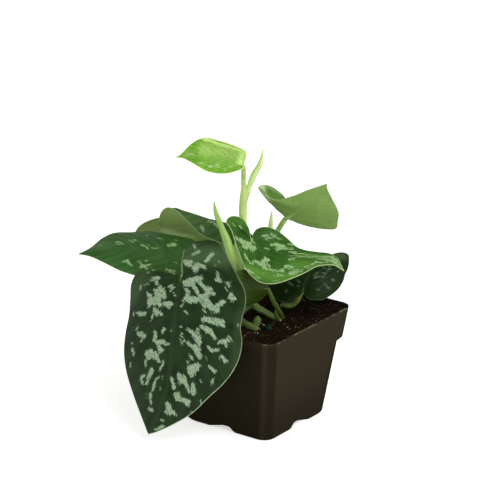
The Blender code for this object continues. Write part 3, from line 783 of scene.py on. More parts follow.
@dataclass(frozen=True)
class StemFinish:
    """The colours of a stem, at places from its root end, 0, to its leaf end, 1."""

    stops: tuple[tuple[float, Colour], ...]
    streak: Colour
    # The colour of the node scars, and of the painted shade beside a rolled leaf's seam.
    scar_and_shade: Colour = (120, 112, 62)
    roughness: float = 0.4
    streaks: float = 0.35

    def dress(self, name: str) -> bpy.types.Material:
        """A smooth green skin with fine lengthwise streaks, pores, pale rings at the nodes, a painted
        highlight down one side, the pale lip of a rolled leaf's seam and painted shade beside that seam.
        """
        recipe = Recipe(name)
        skin = recipe.vector("skin")
        run = recipe.number("run")
        fibre = recipe.noise(recipe.scaled(skin, (1.0, 1.0, 0.06)), 2.6, 3.0)
        clouds = recipe.noise(recipe.scaled(skin, (1.0, 1.0, 0.35)), 0.35, 3.0)
        pores = recipe.noise(recipe.scaled(skin, (1.0, 1.0, 0.5)), 5.5, 1.0).ease(0.66, 0.72)
        ramp = recipe.node("ShaderNodeValToRGB", {"stops": self.stops}, {0: run + (clouds - 0.5) * 0.3})
        ground = recipe.mix(fibre.ease(0.42, 0.62) * self.streaks, ramp.outputs[0], self.streak)
        ground = recipe.mix(pores * 0.3, ground, self.streak)
        # Painted highlight: the lighter side of a stem, or the pale lip of a rolled leaf's seam.
        ground = recipe.mix(recipe.number("pale") * 0.8, ground, self.streak)
        # Node scars, and painted shade beside a rolled leaf's seam.
        ground = recipe.mix(recipe.number("scar_and_shade") * 0.8, ground, self.scar_and_shade)
        height = fibre * 0.8 + pores * 0.6 + clouds * 0.5
        return recipe.finish(
            Base_Color=ground,
            Roughness=self.roughness + (clouds - 0.5) * 0.16,
            Normal=recipe.bump(height, 0.12, 0.7),
            Specular_IOR_Level=0.35,
        )


def capped(grid: Grid) -> Grid:
    """The grid with a row gathered to the middle at each end, which closes a wrapped sheet."""
    points = grid.points
    low = np.broadcast_to(points[:1].mean(axis=1, keepdims=True), points[:1].shape)
    high = np.broadcast_to(points[-1:].mean(axis=1, keepdims=True), points[-1:].shape)
    fields = {
        name: np.concatenate([values[:1], values, values[-1:]]) for name, values in grid.fields.items()
    }
    return Grid(np.concatenate([low, points, high]), fields, grid.wrap, grid.flip, grid.slot)


class Path:
    """A route through guides of x, y, z and radius, with two directions square to it.

    The first direction is the one that the whole route leans to least, less its part along the
    heading, so a section never spins. The second is the heading crossed with the first.
    """

    def __init__(self, guides: Guides, spacing: float, fewest: int, thinnest: float) -> None:
        """Lays evenly spaced points along the guides.

        Args:
            guides: points of x, y, z and radius in millimetres.
            spacing: the distance between two points in millimetres.
            fewest: the least number of points.
            thinnest: the least radius in millimetres.
        """
        length = np.linalg.norm(np.diff(np.asarray(guides)[:, :3], axis=0), axis=1).sum()
        route = smooth_route(guides, max(fewest, round(length / spacing)))
        points = route[:, :3]
        self.middle = points[:, None]
        self.radius = np.maximum(route[:, 3], thinnest)[:, None]
        heading = unit(np.gradient(points, axis=0))
        fixed = np.linalg.svd(heading, full_matrices=False)[2][-1]
        self.first = unit(fixed - (heading @ fixed)[:, None] * heading)
        self.second = np.cross(heading, self.first)
        self.share = np.linspace(0.0, 1.0, len(points))[:, None]
        steps = np.linalg.norm(np.diff(points, axis=0), axis=1)
        self.run = np.concatenate([[0.0], steps.cumsum()])[:, None]

    def out(self, angle: Array) -> Array:
        """Directions across the path: the first times the cosine plus the second times the sine."""
        ahead = self.first[:, None] * np.cos(angle)[..., None]
        return ahead + self.second[:, None] * np.sin(angle)[..., None]

    def skin(self, angle: Array, flat: Array) -> Array:
        """Places on the unrolled skin: round the section in two columns, and along the path."""
        round_it = [np.cos(angle) * self.radius, np.sin(angle) * self.radius]
        return np.stack([*round_it, self.run * flat], -1)


def close_tube(
    name: str, node: str, slot: str, finish: StemFinish, points: Array, fields: dict[str, Array]
) -> bpy.types.Object:
    """Caps a tube's rings of points and makes it the piece that stands for a node.

    Args:
        name: the piece's name, without its prefix.
        node: the node that it stands for.
        slot: the record's slot for the piece, which is passed on but not used.
        finish: its colours.
        points: rings of points in the plant's frame, from the root end up.
        fields: what each point carries.

    Returns:
        The tube's object.
    """
    closed = capped(Grid(turned(points), fields, wrap=True))
    made = Skin.from_grids([closed]).make("dressed_" + name, [finish.dress(name)], slot)
    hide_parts(node)
    return made


@dataclass
class Stem:
    """A stem carried along a path of x, y, z and radius.

    A section is a circle with a shallow channel on one side and low ribs all round. A node is
    a ring where the stem swells, at a share of its length. Each step of the midrib is its reach
    past the blade's base, its drop in radii, and its size as a share of the last radius.
    """

    name: str
    guides: Guides
    finish: StemFinish
    slot: str = "petiole"
    nodes: Sequence[float] = ()
    channel: float = 0.12
    facing: float = 90.0
    sides: int = 28
    spacing: float = 0.8
    leaf: Blade | None = None
    midrib: Guides = ((0.4, 0.7, 0.92), (3.0, 0.65, 0.72), (7.0, 0.45, 0.36))
    swell: float = 0.16
    stands_for: str = ""

    def run_on(self) -> Guides:
        """The guides, run on under the blade as a midrib that thins out."""
        guides = [list(guide) for guide in self.guides]
        if self.leaf is not None:
            base, ahead, up = self.leaf.rib_end()
            end = guides[-1][3]
            for reach, drop, size in self.midrib:
                guides.append([*(base + ahead * reach - up * drop * end), end * size])
        return guides

    def build(self) -> bpy.types.Object:
        """Builds the stem.

        The radius at angle a is r times 1 + 0.02 cos 7a, less a channel of exp(-(a / 0.5)^2) and
        plus a swelling at each node.

        Returns:
            The stem's object.
        """
        path = Path(self.run_on(), self.spacing, 12, 0.05)
        share, run = path.share, path.run
        angle = (np.arange(self.sides) / self.sides * 2.0 * math.pi)[None]
        turn = (angle - math.radians(self.facing) + math.pi) % (2.0 * math.pi) - math.pi
        fade = smooth_step(0.0, 0.2, share) * smooth_step(1.0, 0.88, share)
        shape = 1.0 + 0.02 * np.cos(7.0 * angle) * fade
        shape = shape - self.channel * np.exp(-((turn / 0.5) ** 2)) * fade
        scar_and_shade = np.zeros_like(shape)
        for node in self.nodes:
            away = run - node * run[-1]
            shape = shape + self.swell * np.exp(-((away / 1.6) ** 2))
            scar_and_shade = np.maximum(scar_and_shade, np.exp(-(((away - 1.1) / 0.35) ** 2)) * np.ones_like(shape))
        out = path.out(angle)
        lumps = 1.0 + 0.035 * lattice_noise(path.middle + out * path.radius[..., None], 3.0, 7)
        points = path.middle + out * (path.radius * shape * lumps)[..., None]
        flat = np.ones_like(shape)
        # Painted highlight: the stem is lighter down one side, at a fixed turn from its channel.
        pale = 0.5 + 0.5 * np.cos(turn - 0.9) * flat
        fields = {"skin": path.skin(angle, flat), "run": share * flat, "scar_and_shade": scar_and_shade, "pale": pale**3 * 0.4}
        node = self.stands_for or self.name
        return close_tube(self.name, node, self.slot, self.finish, points, fields)


@dataclass
class RolledLeaf:
    """A leaf that is still rolled up: a spindle whose section is one turn of a spiral.

    The radius grows by the overlap over one turn and drops back at the seam, which winds
    slowly round the spindle.
    """

    name: str
    guides: Guides
    finish: StemFinish
    overlap: float = 0.2
    seam: float = 200.0
    twist: float = 60.0
    sides: int = 36
    spacing: float = 0.7
    slot: str = "shoot"
    tail: Guides = ()

    def build(self) -> bpy.types.Object:
        """Builds the spindle. The radius at angle a is r (1 - o / 2 + o a / 2 pi) for overlap o."""
        path = Path([*self.tail, *self.guides], self.spacing, 24, 0.06)
        share = path.share
        place = np.linspace(0.0, 1.0, self.sides)[None]
        angle = place * 2.0 * math.pi + math.radians(self.seam) + np.radians(self.twist) * share
        open_part = smooth_step(0.08, 0.35, share)
        shape = 1.0 + self.overlap * (place - 0.5) * open_part
        points = path.middle + path.out(angle) * (path.radius * shape)[..., None]
        flat = np.ones_like(angle)
        near = np.minimum(place, 1.0 - place) * 2.0 * math.pi * path.radius
        lip = np.exp(-((near / 0.35) ** 2)) * (place > 0.5) * open_part
        # Painted shade beside the seam, under the overlapping lip; it goes to the same field as a stem's
        # node scars.
        shade = np.exp(-((near / 0.5) ** 2)) * (place < 0.5) * open_part
        fields = {"skin": path.skin(angle, flat), "run": share * flat, "scar_and_shade": shade * 0.6, "pale": lip}
        return close_tube(self.name, self.name, self.slot, self.finish, points, fields)


# The plant's leaves: guides of x, y and z from base to tip

# Most guides and marks here, and about half of the places in the stems' lists below, were read off the
# photograph as points. A separate program turned them into these measures, so they are its results.

LEAVES = [
    # The largest leaf, which hangs over the front of the pot with its tip just above the ground.
    Blade(
        name="leaf_front",
        rib=[
            (-50, -43.5, 117.5), (-53.5, -47.5, 99), (-56, -50.5, 78), (-58.5, -55, 49),
            (-65, -56.5, 26.5), (-73.5, -54.5, 6),
        ],
        left=[
            (-49, -43.5, 120.5), (-49.5, -42, 128), (-48, -40, 135.5), (-44, -40, 140),
            (-36, -42.5, 143.5), (-26, -45.5, 144), (-21, -48, 139.5), (-16.5, -51.5, 131.5),
            (-11, -55, 122), (-6.5, -58, 112.5), (-6, -59.5, 105.5), (-8, -61.5, 96.5),
            (-9.5, -60.5, 86.5), (-8.5, -64.5, 80), (-9.5, -65.5, 71), (-13, -66, 61), (-20.5, -66, 49.5),
            (-31.5, -64, 37.5), (-42.5, -62.5, 25.5), (-55.5, -59, 15.5), (-68, -55.5, 8),
        ],
        right=[
            (-53.5, -41.5, 115), (-60.5, -37.5, 112.5), (-66, -33, 114.5), (-72, -29, 115.5),
            (-77.5, -25.5, 115), (-81.5, -23, 112.5), (-85, -23, 105.5), (-86, -24.5, 94),
            (-87, -25.5, 82.5), (-89.5, -26.5, 70), (-90.5, -29.5, 58), (-89, -33.5, 45),
            (-83.5, -41.5, 29), (-78, -48.5, 16),
        ],
        bulge=([0.05, 0.06, 0.06, 0.05, 0.02], [0.05, 0.08, 0.06, 0.05, 0.02]), lobe=0.32,
        finish=LeafFinish(
            deep=(12, 31, 7), mid=(33, 55, 24), sheen_and_fleck=(78, 104, 64), silver=(164, 186, 154),
            silver_deep=(120, 146, 112), margin=(156, 178, 138), under=(96, 128, 66),
            under_deep=(72, 104, 50), under_vein=(128, 156, 92), margin_width=0.85, rims=(0.95, 0.5),
            rim_growth=1.0,
        ),
        slot="dark_leaf", seed=3, rows=150, columns=40,
        sheen_washes=[
            (0.08, -0.95, 0.26, -0.98, 11.0, 0.58), (0.2, 0.95, 0.36, 0.98, 11.0, 0.36),
            (0.45, -0.99, 0.62, -0.99, 7.0, 0.22),
        ],
        marks=[
            (0.135, -0.89, 0.15, -0.75, 0.62), (0.16, -0.56, 0.18, -0.65, 0.7),
            (0.08, -0.95, 0.1, -0.62, 0.39), (0.245, -0.59, 0.23, -0.76, 1.09),
            (0.245, -0.56, 0.245, -0.61, 0.78), (0.12, -0.41, 0.185, -0.36, 1.09),
            (0.155, -0.3, 0.21, -0.29, 0.93), (0.135, -0.35, 0.175, -0.31, 1.24),
            (0.23, -0.36, 0.27, -0.48, 1.01), (0.235, -0.41, 0.255, -0.45, 0.78),
            (0.245, -0.29, 0.275, -0.34, 1.09), (0.235, -0.33, 0.26, -0.38, 1.09),
            (0.28, -0.28, 0.285, -0.29, 0.7), (0.275, -0.48, 0.29, -0.49, 0.47),
            (0.275, -0.71, 0.28, -0.71, 0.54), (0.265, -0.8, 0.27, -0.8, 0.39),
            (0.32, -0.66, 0.33, -0.66, 0.78), (0.345, -0.6, 0.35, -0.68, 0.78),
            (0.335, -0.65, 0.345, -0.64, 1.09), (0.35, -0.81, 0.35, -0.83, 0.54),
            (0.355, -0.76, 0.365, -0.78, 0.62), (0.375, -0.71, 0.38, -0.74, 0.47),
            (0.39, -0.79, 0.395, -0.8, 0.93), (0.405, -0.76, 0.405, -0.84, 0.93),
            (0.415, -0.8, 0.415, -0.81, 0.78), (0.4, -0.76, 0.4, -0.79, 0.62),
            (0.085, -0.91, 0.085, -0.75, 0.49), (0.095, -0.61, 0.115, -0.38, 0.24),
            (0.31, 0.54, 0.305, 0.43, 0.35), (0.325, 0.56, 0.325, 0.48, 0.49),
            (0.375, 0.46, 0.375, 0.33, 0.42), (0.335, 0.68, 0.335, 0.61, 0.42),
            (0.345, -0.1, 0.335, -0.35, 1.71), (0.355, -0.1, 0.355, -0.23, 1.4),
            (0.34, -0.06, 0.34, -0.08, 0.62), (0.355, -0.34, 0.38, -0.43, 1.4),
            (0.375, -0.43, 0.38, -0.49, 1.4), (0.39, -0.44, 0.395, -0.54, 1.09),
            (0.37, -0.39, 0.39, -0.49, 1.09), (0.365, -0.23, 0.39, -0.3, 1.24),
            (0.36, -0.2, 0.375, -0.25, 1.09), (0.375, -0.11, 0.39, -0.18, 0.93),
            (0.41, -0.15, 0.42, -0.29, 2.02), (0.42, -0.19, 0.415, -0.31, 1.71),
            (0.4, -0.14, 0.41, -0.21, 1.24), (0.405, -0.35, 0.405, -0.44, 1.4),
            (0.41, -0.4, 0.435, -0.51, 1.71), (0.42, -0.45, 0.44, -0.55, 1.4),
            (0.445, -0.55, 0.45, -0.64, 1.56), (0.44, -0.6, 0.42, -0.69, 1.4),
            (0.455, -0.56, 0.46, -0.61, 0.62), (0.42, -0.36, 0.445, -0.45, 0.93),
            (0.455, -0.43, 0.46, -0.46, 0.47), (0.46, -0.16, 0.47, -0.19, 0.62),
            (0.43, -0.09, 0.445, -0.09, 0.39), (0.415, -0.09, 0.43, -0.12, 0.31),
            (0.485, -0.45, 0.485, -0.55, 1.24), (0.49, -0.45, 0.495, -0.6, 1.4),
            (0.485, -0.61, 0.485, -0.73, 1.4), (0.495, -0.64, 0.5, -0.74, 1.24),
            (0.515, -0.43, 0.525, -0.5, 1.24), (0.52, -0.5, 0.53, -0.56, 1.24),
            (0.53, -0.56, 0.55, -0.62, 1.09), (0.535, -0.49, 0.525, -0.55, 0.93),
            (0.485, -0.95, 0.495, -0.96, 0.54), (0.53, -0.21, 0.55, -0.33, 1.09),
            (0.55, -0.33, 0.575, -0.41, 1.71), (0.53, -0.36, 0.54, -0.39, 0.78),
            (0.55, -0.31, 0.555, -0.41, 1.09), (0.55, -0.14, 0.57, -0.12, 0.39),
            (0.56, -0.16, 0.575, -0.19, 0.39), (0.575, -0.14, 0.59, -0.16, 0.47),
            (0.515, -0.11, 0.525, -0.12, 0.31), (0.535, -0.81, 0.545, -0.85, 0.7),
            (0.56, -0.69, 0.545, -0.8, 1.09), (0.56, -0.74, 0.565, -0.79, 1.09),
            (0.565, -0.76, 0.575, -0.79, 0.47), (0.585, -0.26, 0.6, -0.38, 1.4),
            (0.595, -0.35, 0.625, -0.46, 1.71), (0.61, -0.38, 0.63, -0.46, 1.09),
            (0.585, -0.4, 0.6, -0.44, 0.78), (0.585, -0.55, 0.595, -0.6, 1.09),
            (0.595, -0.61, 0.585, -0.7, 0.93), (0.605, -0.76, 0.615, -0.84, 1.24),
            (0.61, -0.8, 0.615, -0.85, 0.93), (0.63, -0.31, 0.64, -0.35, 1.09),
            (0.65, -0.28, 0.66, -0.3, 0.47), (0.62, -0.55, 0.63, -0.58, 0.31),
            (0.65, -0.65, 0.66, -0.76, 0.78), (0.66, -0.73, 0.665, -0.78, 0.47),
            (0.675, -0.34, 0.66, -0.48, 1.56), (0.69, -0.39, 0.675, -0.46, 2.02),
            (0.705, -0.44, 0.7, -0.46, 1.09), (0.655, -0.44, 0.655, -0.45, 0.62),
            (0.685, -0.81, 0.71, -0.85, 0.54), (0.705, -0.62, 0.715, -0.68, 0.39),
            (0.715, -0.2, 0.74, -0.29, 1.56), (0.72, -0.3, 0.74, -0.39, 1.4),
            (0.735, -0.06, 0.77, -0.16, 1.09), (0.75, -0.15, 0.765, -0.2, 0.78),
            (0.735, -0.38, 0.765, -0.55, 1.24), (0.735, -0.54, 0.765, -0.66, 1.4),
            (0.795, -0.29, 0.81, -0.4, 1.4), (0.785, -0.33, 0.81, -0.48, 0.93),
            (0.805, -0.51, 0.8, -0.7, 1.4), (0.81, -0.61, 0.815, -0.75, 0.78),
            (0.78, -0.9, 0.785, -0.96, 0.39), (0.83, -0.96, 0.83, -1, 0.62),
            (0.845, -0.21, 0.87, -0.43, 1.71), (0.875, -0.28, 0.875, -0.38, 1.24),
            (0.86, -0.46, 0.87, -0.66, 0.93), (0.865, -0.45, 0.865, -0.53, 1.24),
            (0.915, -0.28, 0.915, -0.46, 0.54), (0.95, -0.66, 0.935, -0.74, 0.93),
            (0.965, -0.56, 0.955, -0.74, 0.47), (0.255, 0.7, 0.17, 0.91, 0.39),
            (0.32, 0.48, 0.32, 0.4, 1.09), (0.33, 0.45, 0.345, 0.4, 1.09),
            (0.105, 0.71, 0.065, 0.85, 0.31), (0.34, 0.75, 0.35, 0.76, 0.62),
            (0.335, 0.61, 0.34, 0.59, 0.39), (0.36, 0.19, 0.355, 0.15, 0.47),
            (0.355, 0.15, 0.36, 0.09, 0.62), (0.36, 0.09, 0.375, 0.15, 0.54),
            (0.385, 0.08, 0.4, 0.03, 0.39), (0.36, 0.35, 0.37, 0.28, 1.24),
            (0.37, 0.45, 0.375, 0.3, 0.78), (0.37, 0.3, 0.39, 0.24, 1.09), (0.38, 0.58, 0.395, 0.5, 1.24),
            (0.39, 0.4, 0.4, 0.24, 1.71), (0.41, 0.51, 0.41, 0.34, 2.02), (0.42, 0.54, 0.425, 0.4, 1.56),
            (0.415, 0.35, 0.435, 0.3, 1.56), (0.44, 0.55, 0.43, 0.49, 0.62),
            (0.43, 0.21, 0.43, 0.09, 1.56), (0.44, 0.16, 0.445, 0.12, 1.09),
            (0.45, 0.4, 0.475, 0.34, 1.24), (0.465, 0.41, 0.49, 0.43, 0.62),
            (0.46, 0.33, 0.475, 0.24, 0.93), (0.5, 0.46, 0.495, 0.41, 0.31),
            (0.455, 0.78, 0.46, 0.69, 1.09), (0.465, 0.71, 0.465, 0.6, 1.4),
            (0.445, 0.88, 0.46, 0.86, 0.39), (0.52, 0.7, 0.53, 0.73, 0.47),
            (0.55, 0.69, 0.55, 0.61, 1.09), (0.555, 0.64, 0.565, 0.54, 1.56),
            (0.58, 0.58, 0.59, 0.6, 0.47), (0.55, 0.2, 0.535, 0.16, 0.78), (0.53, 0.04, 0.54, 0.04, 0.31),
            (0.55, 0.33, 0.575, 0.31, 1.24), (0.58, 0.34, 0.595, 0.26, 1.4),
            (0.59, 0.24, 0.59, 0.15, 1.71), (0.61, 0.24, 0.625, 0.18, 1.56),
            (0.595, 0.18, 0.6, 0.1, 0.78), (0.63, 0.23, 0.635, 0.2, 0.78), (0.595, 0.06, 0.6, 0.05, 0.39),
            (0.585, 0.8, 0.59, 0.81, 0.47), (0.615, 0.78, 0.64, 0.76, 1.09),
            (0.635, 0.46, 0.63, 0.39, 1.4), (0.645, 0.48, 0.66, 0.44, 1.24),
            (0.67, 0.5, 0.69, 0.51, 0.78), (0.645, 0.39, 0.655, 0.33, 1.4), (0.64, 0.3, 0.67, 0.24, 1.4),
            (0.675, 0.85, 0.69, 0.88, 0.62), (0.67, 0.14, 0.69, 0.16, 0.62),
            (0.695, 0.19, 0.715, 0.21, 0.47), (0.71, 0.38, 0.74, 0.46, 1.4),
            (0.735, 0.46, 0.77, 0.53, 0.93), (0.74, 0.64, 0.735, 0.56, 1.09),
            (0.75, 0.65, 0.765, 0.64, 0.93), (0.735, 0.2, 0.75, 0.3, 0.62), (0.75, 0.3, 0.78, 0.33, 0.78),
            (0.78, 0.33, 0.795, 0.35, 0.78), (0.735, 0.14, 0.74, 0.14, 0.39),
            (0.78, 0.16, 0.79, 0.15, 0.31), (0.815, 0.41, 0.835, 0.44, 0.93),
            (0.835, 0.43, 0.855, 0.38, 0.78), (0.81, 0.54, 0.835, 0.58, 0.23),
            (0.88, 0.46, 0.885, 0.31, 0.93),
        ],
    ),
    # A leaf that reaches out level to the left and points away from the pot.
    Blade(
        name="leaf_left",
        rib=[
            (-46, -13.5, 117.5), (-57, -10, 120), (-72.5, -5.5, 122), (-90, 0, 122.5), (-107.5, 0, 121.5),
            (-123, -0.5, 118.5),
        ],
        left=[
            (-44.5, -18, 116), (-45, -21.5, 113.5), (-48.5, -23.5, 111.5), (-56, -24, 109.5),
            (-65, -22.5, 108.5), (-74.5, -20.5, 108), (-83.5, -18, 109.5), (-93, -14.5, 111.5),
            (-105, -8.5, 115.5), (-115, -3, 118),
        ],
        right=[
            (-43.5, -10, 119.5), (-39.5, 0.5, 121.5), (-39.5, 10.5, 123), (-45.5, 17, 124),
            (-54, 20.5, 124.5), (-63, 22.5, 125.5), (-73.5, 26.5, 126), (-86.5, 26, 125.5),
            (-99, 25.5, 125), (-106.5, 19.5, 123.5), (-115, 6.5, 120.5),
        ],
        bulge=([0.08, 0.1, 0.1, 0.08, 0.03], [0.05, 0.06, 0.06, 0.05, 0.02]), lobe=0.3,
        finish=LeafFinish(
            deep=(38, 74, 28), mid=(64, 104, 48), sheen_and_fleck=(88, 128, 64), silver=(162, 190, 134),
            silver_deep=(126, 158, 100), margin=(126, 156, 86), under=(104, 134, 70),
            under_deep=(84, 114, 54), under_vein=(136, 162, 98), margin_width=0.5,
        ),
        slot="dark_leaf", seed=10, sheen_washes=[(0.85, 0.3, 0.97, 0.3, 14.0, 0.3)],
        marks=[
            (0.755, 0.38, 0.725, 0.3, 0.51), (0.75, 0.23, 0.72, 0.2, 0.64),
            (0.675, 0.41, 0.63, 0.44, 0.51), (0.665, 0.35, 0.635, 0.36, 0.51),
            (0.555, 0.71, 0.535, 0.7, 0.25), (0.49, 0.6, 0.465, 0.59, 0.45),
            (0.43, 0.4, 0.395, 0.43, 1.15), (0.405, 0.51, 0.385, 0.48, 0.76),
            (0.385, 0.73, 0.375, 0.69, 0.45), (0.6, 0.23, 0.575, 0.14, 0.45),
            (0.575, 0.14, 0.555, 0.09, 0.38), (0.56, 0.25, 0.55, 0.23, 0.32),
            (0.55, 0.15, 0.505, 0.16, 0.38), (0.435, 0.34, 0.42, 0.35, 0.51),
            (0.66, -0.65, 0.63, -0.62, 0.57), (0.64, -0.58, 0.615, -0.64, 0.51),
            (0.625, -0.66, 0.59, -0.71, 0.51), (0.57, -0.51, 0.555, -0.49, 0.32),
            (0.525, -0.43, 0.515, -0.44, 0.32), (0.53, -0.68, 0.49, -0.54, 0.76),
            (0.535, -0.6, 0.505, -0.62, 0.51), (0.505, -0.66, 0.485, -0.68, 0.51),
            (0.455, -0.64, 0.445, -0.65, 0.32), (0.43, -0.76, 0.4, -0.75, 0.76),
            (0.4, -0.78, 0.375, -0.79, 0.38), (0.36, -0.6, 0.305, -0.66, 0.57),
            (0.335, -0.6, 0.295, -0.62, 0.57), (0.285, -0.7, 0.24, -0.88, 0.64),
            (0.855, 0.53, 0.845, 0.45, 0.38), (0.365, -0.19, 0.345, -0.21, 0.32),
        ],
    ),
    # The saddle-shaped leaf in the middle, whose left lobe stands up and whose tip bends down.
    Blade(
        name="leaf_centre",
        rib=[
            (-2, -12, 132.5), (5, -17, 128), (14, -22, 125), (25.5, -26, 124.5), (40, -28, 124.5),
            (52, -31, 123.5), (61, -37, 119.5),
        ],
        left=[
            (-1, -7, 134.5), (0.5, -3, 137), (4.5, -1, 138.5), (10, -1, 138.5), (16.5, -2, 136),
            (22.5, -5, 132), (29, -10, 127.5), (34, -12, 126), (43.5, -15, 125.5), (51, -19, 126),
            (56.5, -25, 125), (59, -32, 122.5),
        ],
        right=[
            (-3, -9, 135), (-4, -4, 138.5), (-6.5, 0, 142), (-9.5, 2, 144.5), (-14.5, 3, 145.5),
            (-18.5, 2, 144.5), (-20, 0, 142), (-18, -3, 140), (-16, -7, 137.5), (-13.5, -14, 131.5),
            (-11, -20, 126.5), (-8, -27, 121), (-5, -33, 117.5), (-1, -37, 114.5), (3.5, -40, 112.5),
            (11, -42, 112), (17, -43, 113.5), (24, -43, 116), (33.5, -42, 120), (41, -41, 124),
            (47.5, -41, 125.5), (54, -40, 125), (58, -38, 122),
        ],
        bulge=([0.02, 0.0, -0.04, -0.03, 0.0], [-0.02, -0.04, -0.06, -0.05, 0.0]), lobe=0.34,
        finish=LeafFinish(
            deep=(36, 74, 22), mid=(64, 110, 38), sheen_and_fleck=(96, 150, 58), silver=(176, 206, 150),
            silver_deep=(132, 172, 104), margin=(188, 214, 146), under=(110, 142, 72),
            under_deep=(86, 118, 54), under_vein=(142, 168, 100), margin_width=0.75,
        ),
        slot="green_leaf", seed=17, rows=140, columns=30,
        sheen_washes=[
            (0.5, 0.95, 0.75, 0.95, 9.0, 0.9), (0.7, 0.3, 0.85, 0.5, 8.0, 0.7),
            (0.12, 0.9, 0.2, 0.9, 8.0, 0.3), (0.68, -0.5, 0.95, -0.3, 9.0, 0.5),
        ],
        marks=[
            (0.31, -0.43, 0.325, -0.59, 0.5), (0.345, -0.43, 0.365, -0.66, 0.5),
            (0.325, -0.7, 0.35, -0.79, 0.4), (0.38, -0.75, 0.39, -0.8, 0.6),
            (0.365, -0.4, 0.38, -0.45, 0.25), (0.42, -0.4, 0.425, -0.59, 0.7),
            (0.425, -0.51, 0.465, -0.66, 1.1), (0.465, -0.43, 0.485, -0.69, 1),
            (0.475, -0.68, 0.505, -0.8, 0.7), (0.475, -0.35, 0.48, -0.35, 0.5),
            (0.43, -0.15, 0.445, -0.19, 0.4), (0.45, -0.88, 0.47, -0.95, 0.5),
            (0.53, -0.61, 0.56, -0.69, 0.7), (0.625, 0.03, 0.66, 0.01, 0.3),
            (0.59, -0.31, 0.62, -0.5, 0.4), (0.595, -0.64, 0.64, -0.68, 0.4),
            (0.645, -0.2, 0.68, -0.4, 0.4), (0.68, -0.34, 0.745, -0.44, 0.35),
            (0.66, -0.56, 0.71, -0.64, 0.25), (0.735, -0.55, 0.825, -0.53, 0.3),
            (0.795, -0.74, 0.855, -0.7, 0.35), (0.81, -0.43, 0.89, -0.54, 0.3),
            (0.855, -0.36, 0.925, -0.48, 0.3), (0.815, -0.11, 0.87, -0.18, 0.25),
            (0.31, 0.86, 0.36, 0.56, 0.4), (0.32, 0.64, 0.35, 0.39, 0.7), (0.34, 0.46, 0.36, 0.18, 1),
            (0.375, 0.66, 0.395, 0.34, 0.9), (0.37, 0.38, 0.405, 0.15, 1.2),
            (0.415, 0.33, 0.41, 0.25, 0.7), (0.205, 0.75, 0.205, 0.61, 0.35),
            (0.18, 0.54, 0.185, 0.43, 0.25), (0.37, 0.85, 0.4, 0.74, 0.3), (0.41, 0.75, 0.445, 0.75, 0.5),
            (0.44, 0.76, 0.485, 0.68, 0.6), (0.48, 0.56, 0.505, 0.44, 1), (0.505, 0.48, 0.545, 0.45, 1.5),
            (0.505, 0.35, 0.52, 0.21, 1.1), (0.495, 0.2, 0.525, 0.19, 0.6), (0.52, 0.35, 0.545, 0.45, 1),
            (0.545, 0.51, 0.585, 0.46, 0.8), (0.585, 0.46, 0.655, 0.46, 0.7),
            (0.645, 0.43, 0.65, 0.29, 0.9), (0.64, 0.28, 0.655, 0.26, 0.4),
            (0.54, 0.36, 0.565, 0.36, 0.7), (0.68, 0.4, 0.69, 0.31, 0.5), (0.71, 0.66, 0.73, 0.6, 1),
            (0.73, 0.6, 0.775, 0.73, 0.7), (0.715, 0.68, 0.73, 0.76, 0.7), (0.62, 0.64, 0.645, 0.59, 0.3),
            (0.645, 0.66, 0.67, 0.66, 0.5), (0.505, 0.94, 0.53, 0.89, 0.7), (0.555, 0.9, 0.57, 0.89, 0.6),
            (0.64, 0.89, 0.66, 0.88, 0.35), (0.775, 0.43, 0.795, 0.43, 0.4),
            (0.565, 0.66, 0.57, 0.65, 0.25), (0.63, -0.01, 0.655, -0.31, 0.45),
            (0.63, -0.39, 0.73, -0.36, 0.7), (0.7, 0.45, 0.765, 0.61, 0.77),
            (0.715, -0.38, 0.79, -0.68, 0.55), (0.595, -0.68, 0.635, -0.69, 0.56),
            (0.53, -0.62, 0.585, -0.58, 0.56), (0.665, -0.61, 0.715, -0.66, 0.4),
            (0.585, -0.28, 0.6, -0.4, 0.45), (0.79, -0.2, 0.87, -0.64, 0.5), (0.8, 0.39, 0.81, 0.16, 0.7),
            (0.81, 0.16, 0.88, 0.29, 0.85), (0.87, 0.14, 0.925, 0.01, 0.9), (0.8, 0.66, 0.85, 0.59, 0.55),
            (0.82, -0.83, 0.9, -0.69, 0.75), (0.895, -0.38, 0.965, -0.01, 0.95),
            (0.7, 0.58, 0.75, 0.68, 0.91), (0.655, 0.25, 0.69, 0.35, 0.77),
        ],
    ),
    # A dark leaf behind the central one, over the right side of the pot. Its colours, its silver most of
    # all, are darkened as painted shade for the shadow of the central leaf.
    Blade(
        name="leaf_right",
        rib=[(33.5, -7, 93), (36, -2, 98.5), (39.5, 4.5, 103.5), (43.5, 11, 108), (48, 17.5, 110)],
        left=[
            (32.5, -7.5, 91.5), (30, -9, 90), (26.5, -10, 88.5), (22, -10, 87), (17.5, -9, 87),
            (14, -6.5, 88.5), (11.5, -2.5, 91.5), (11, 2, 95), (13.5, 8.5, 99), (19, 15, 103.5),
            (27.5, 19.5, 107), (37.5, 20, 109),
        ],
        right=[
            (34.5, -8, 91), (37, -9, 89), (40.5, -9, 88), (46.5, -8, 87.5), (52, -5, 89), (55.5, -3, 91),
            (58.5, -0.5, 93), (62, 4.5, 97), (63.5, 8.5, 100.5), (65.5, 12.5, 103.5), (66.5, 18.5, 107.5),
            (66, 22.5, 110), (63, 24, 111), (59, 24, 111), (53.5, 21, 110.5),
        ],
        bulge=([0.06, 0.1, 0.08, 0.05, 0.02], [0.06, 0.1, 0.08, 0.05, 0.02]), lobe=0.36,
        finish=LeafFinish(
            deep=(9, 28, 1), mid=(22, 44, 6), sheen_and_fleck=(74, 98, 54), silver=(92, 118, 86),
            silver_deep=(62, 88, 56), margin=(104, 128, 72), under=(88, 114, 56), under_deep=(70, 96, 44),
            under_vein=(120, 146, 84), margin_width=0.5,
        ),
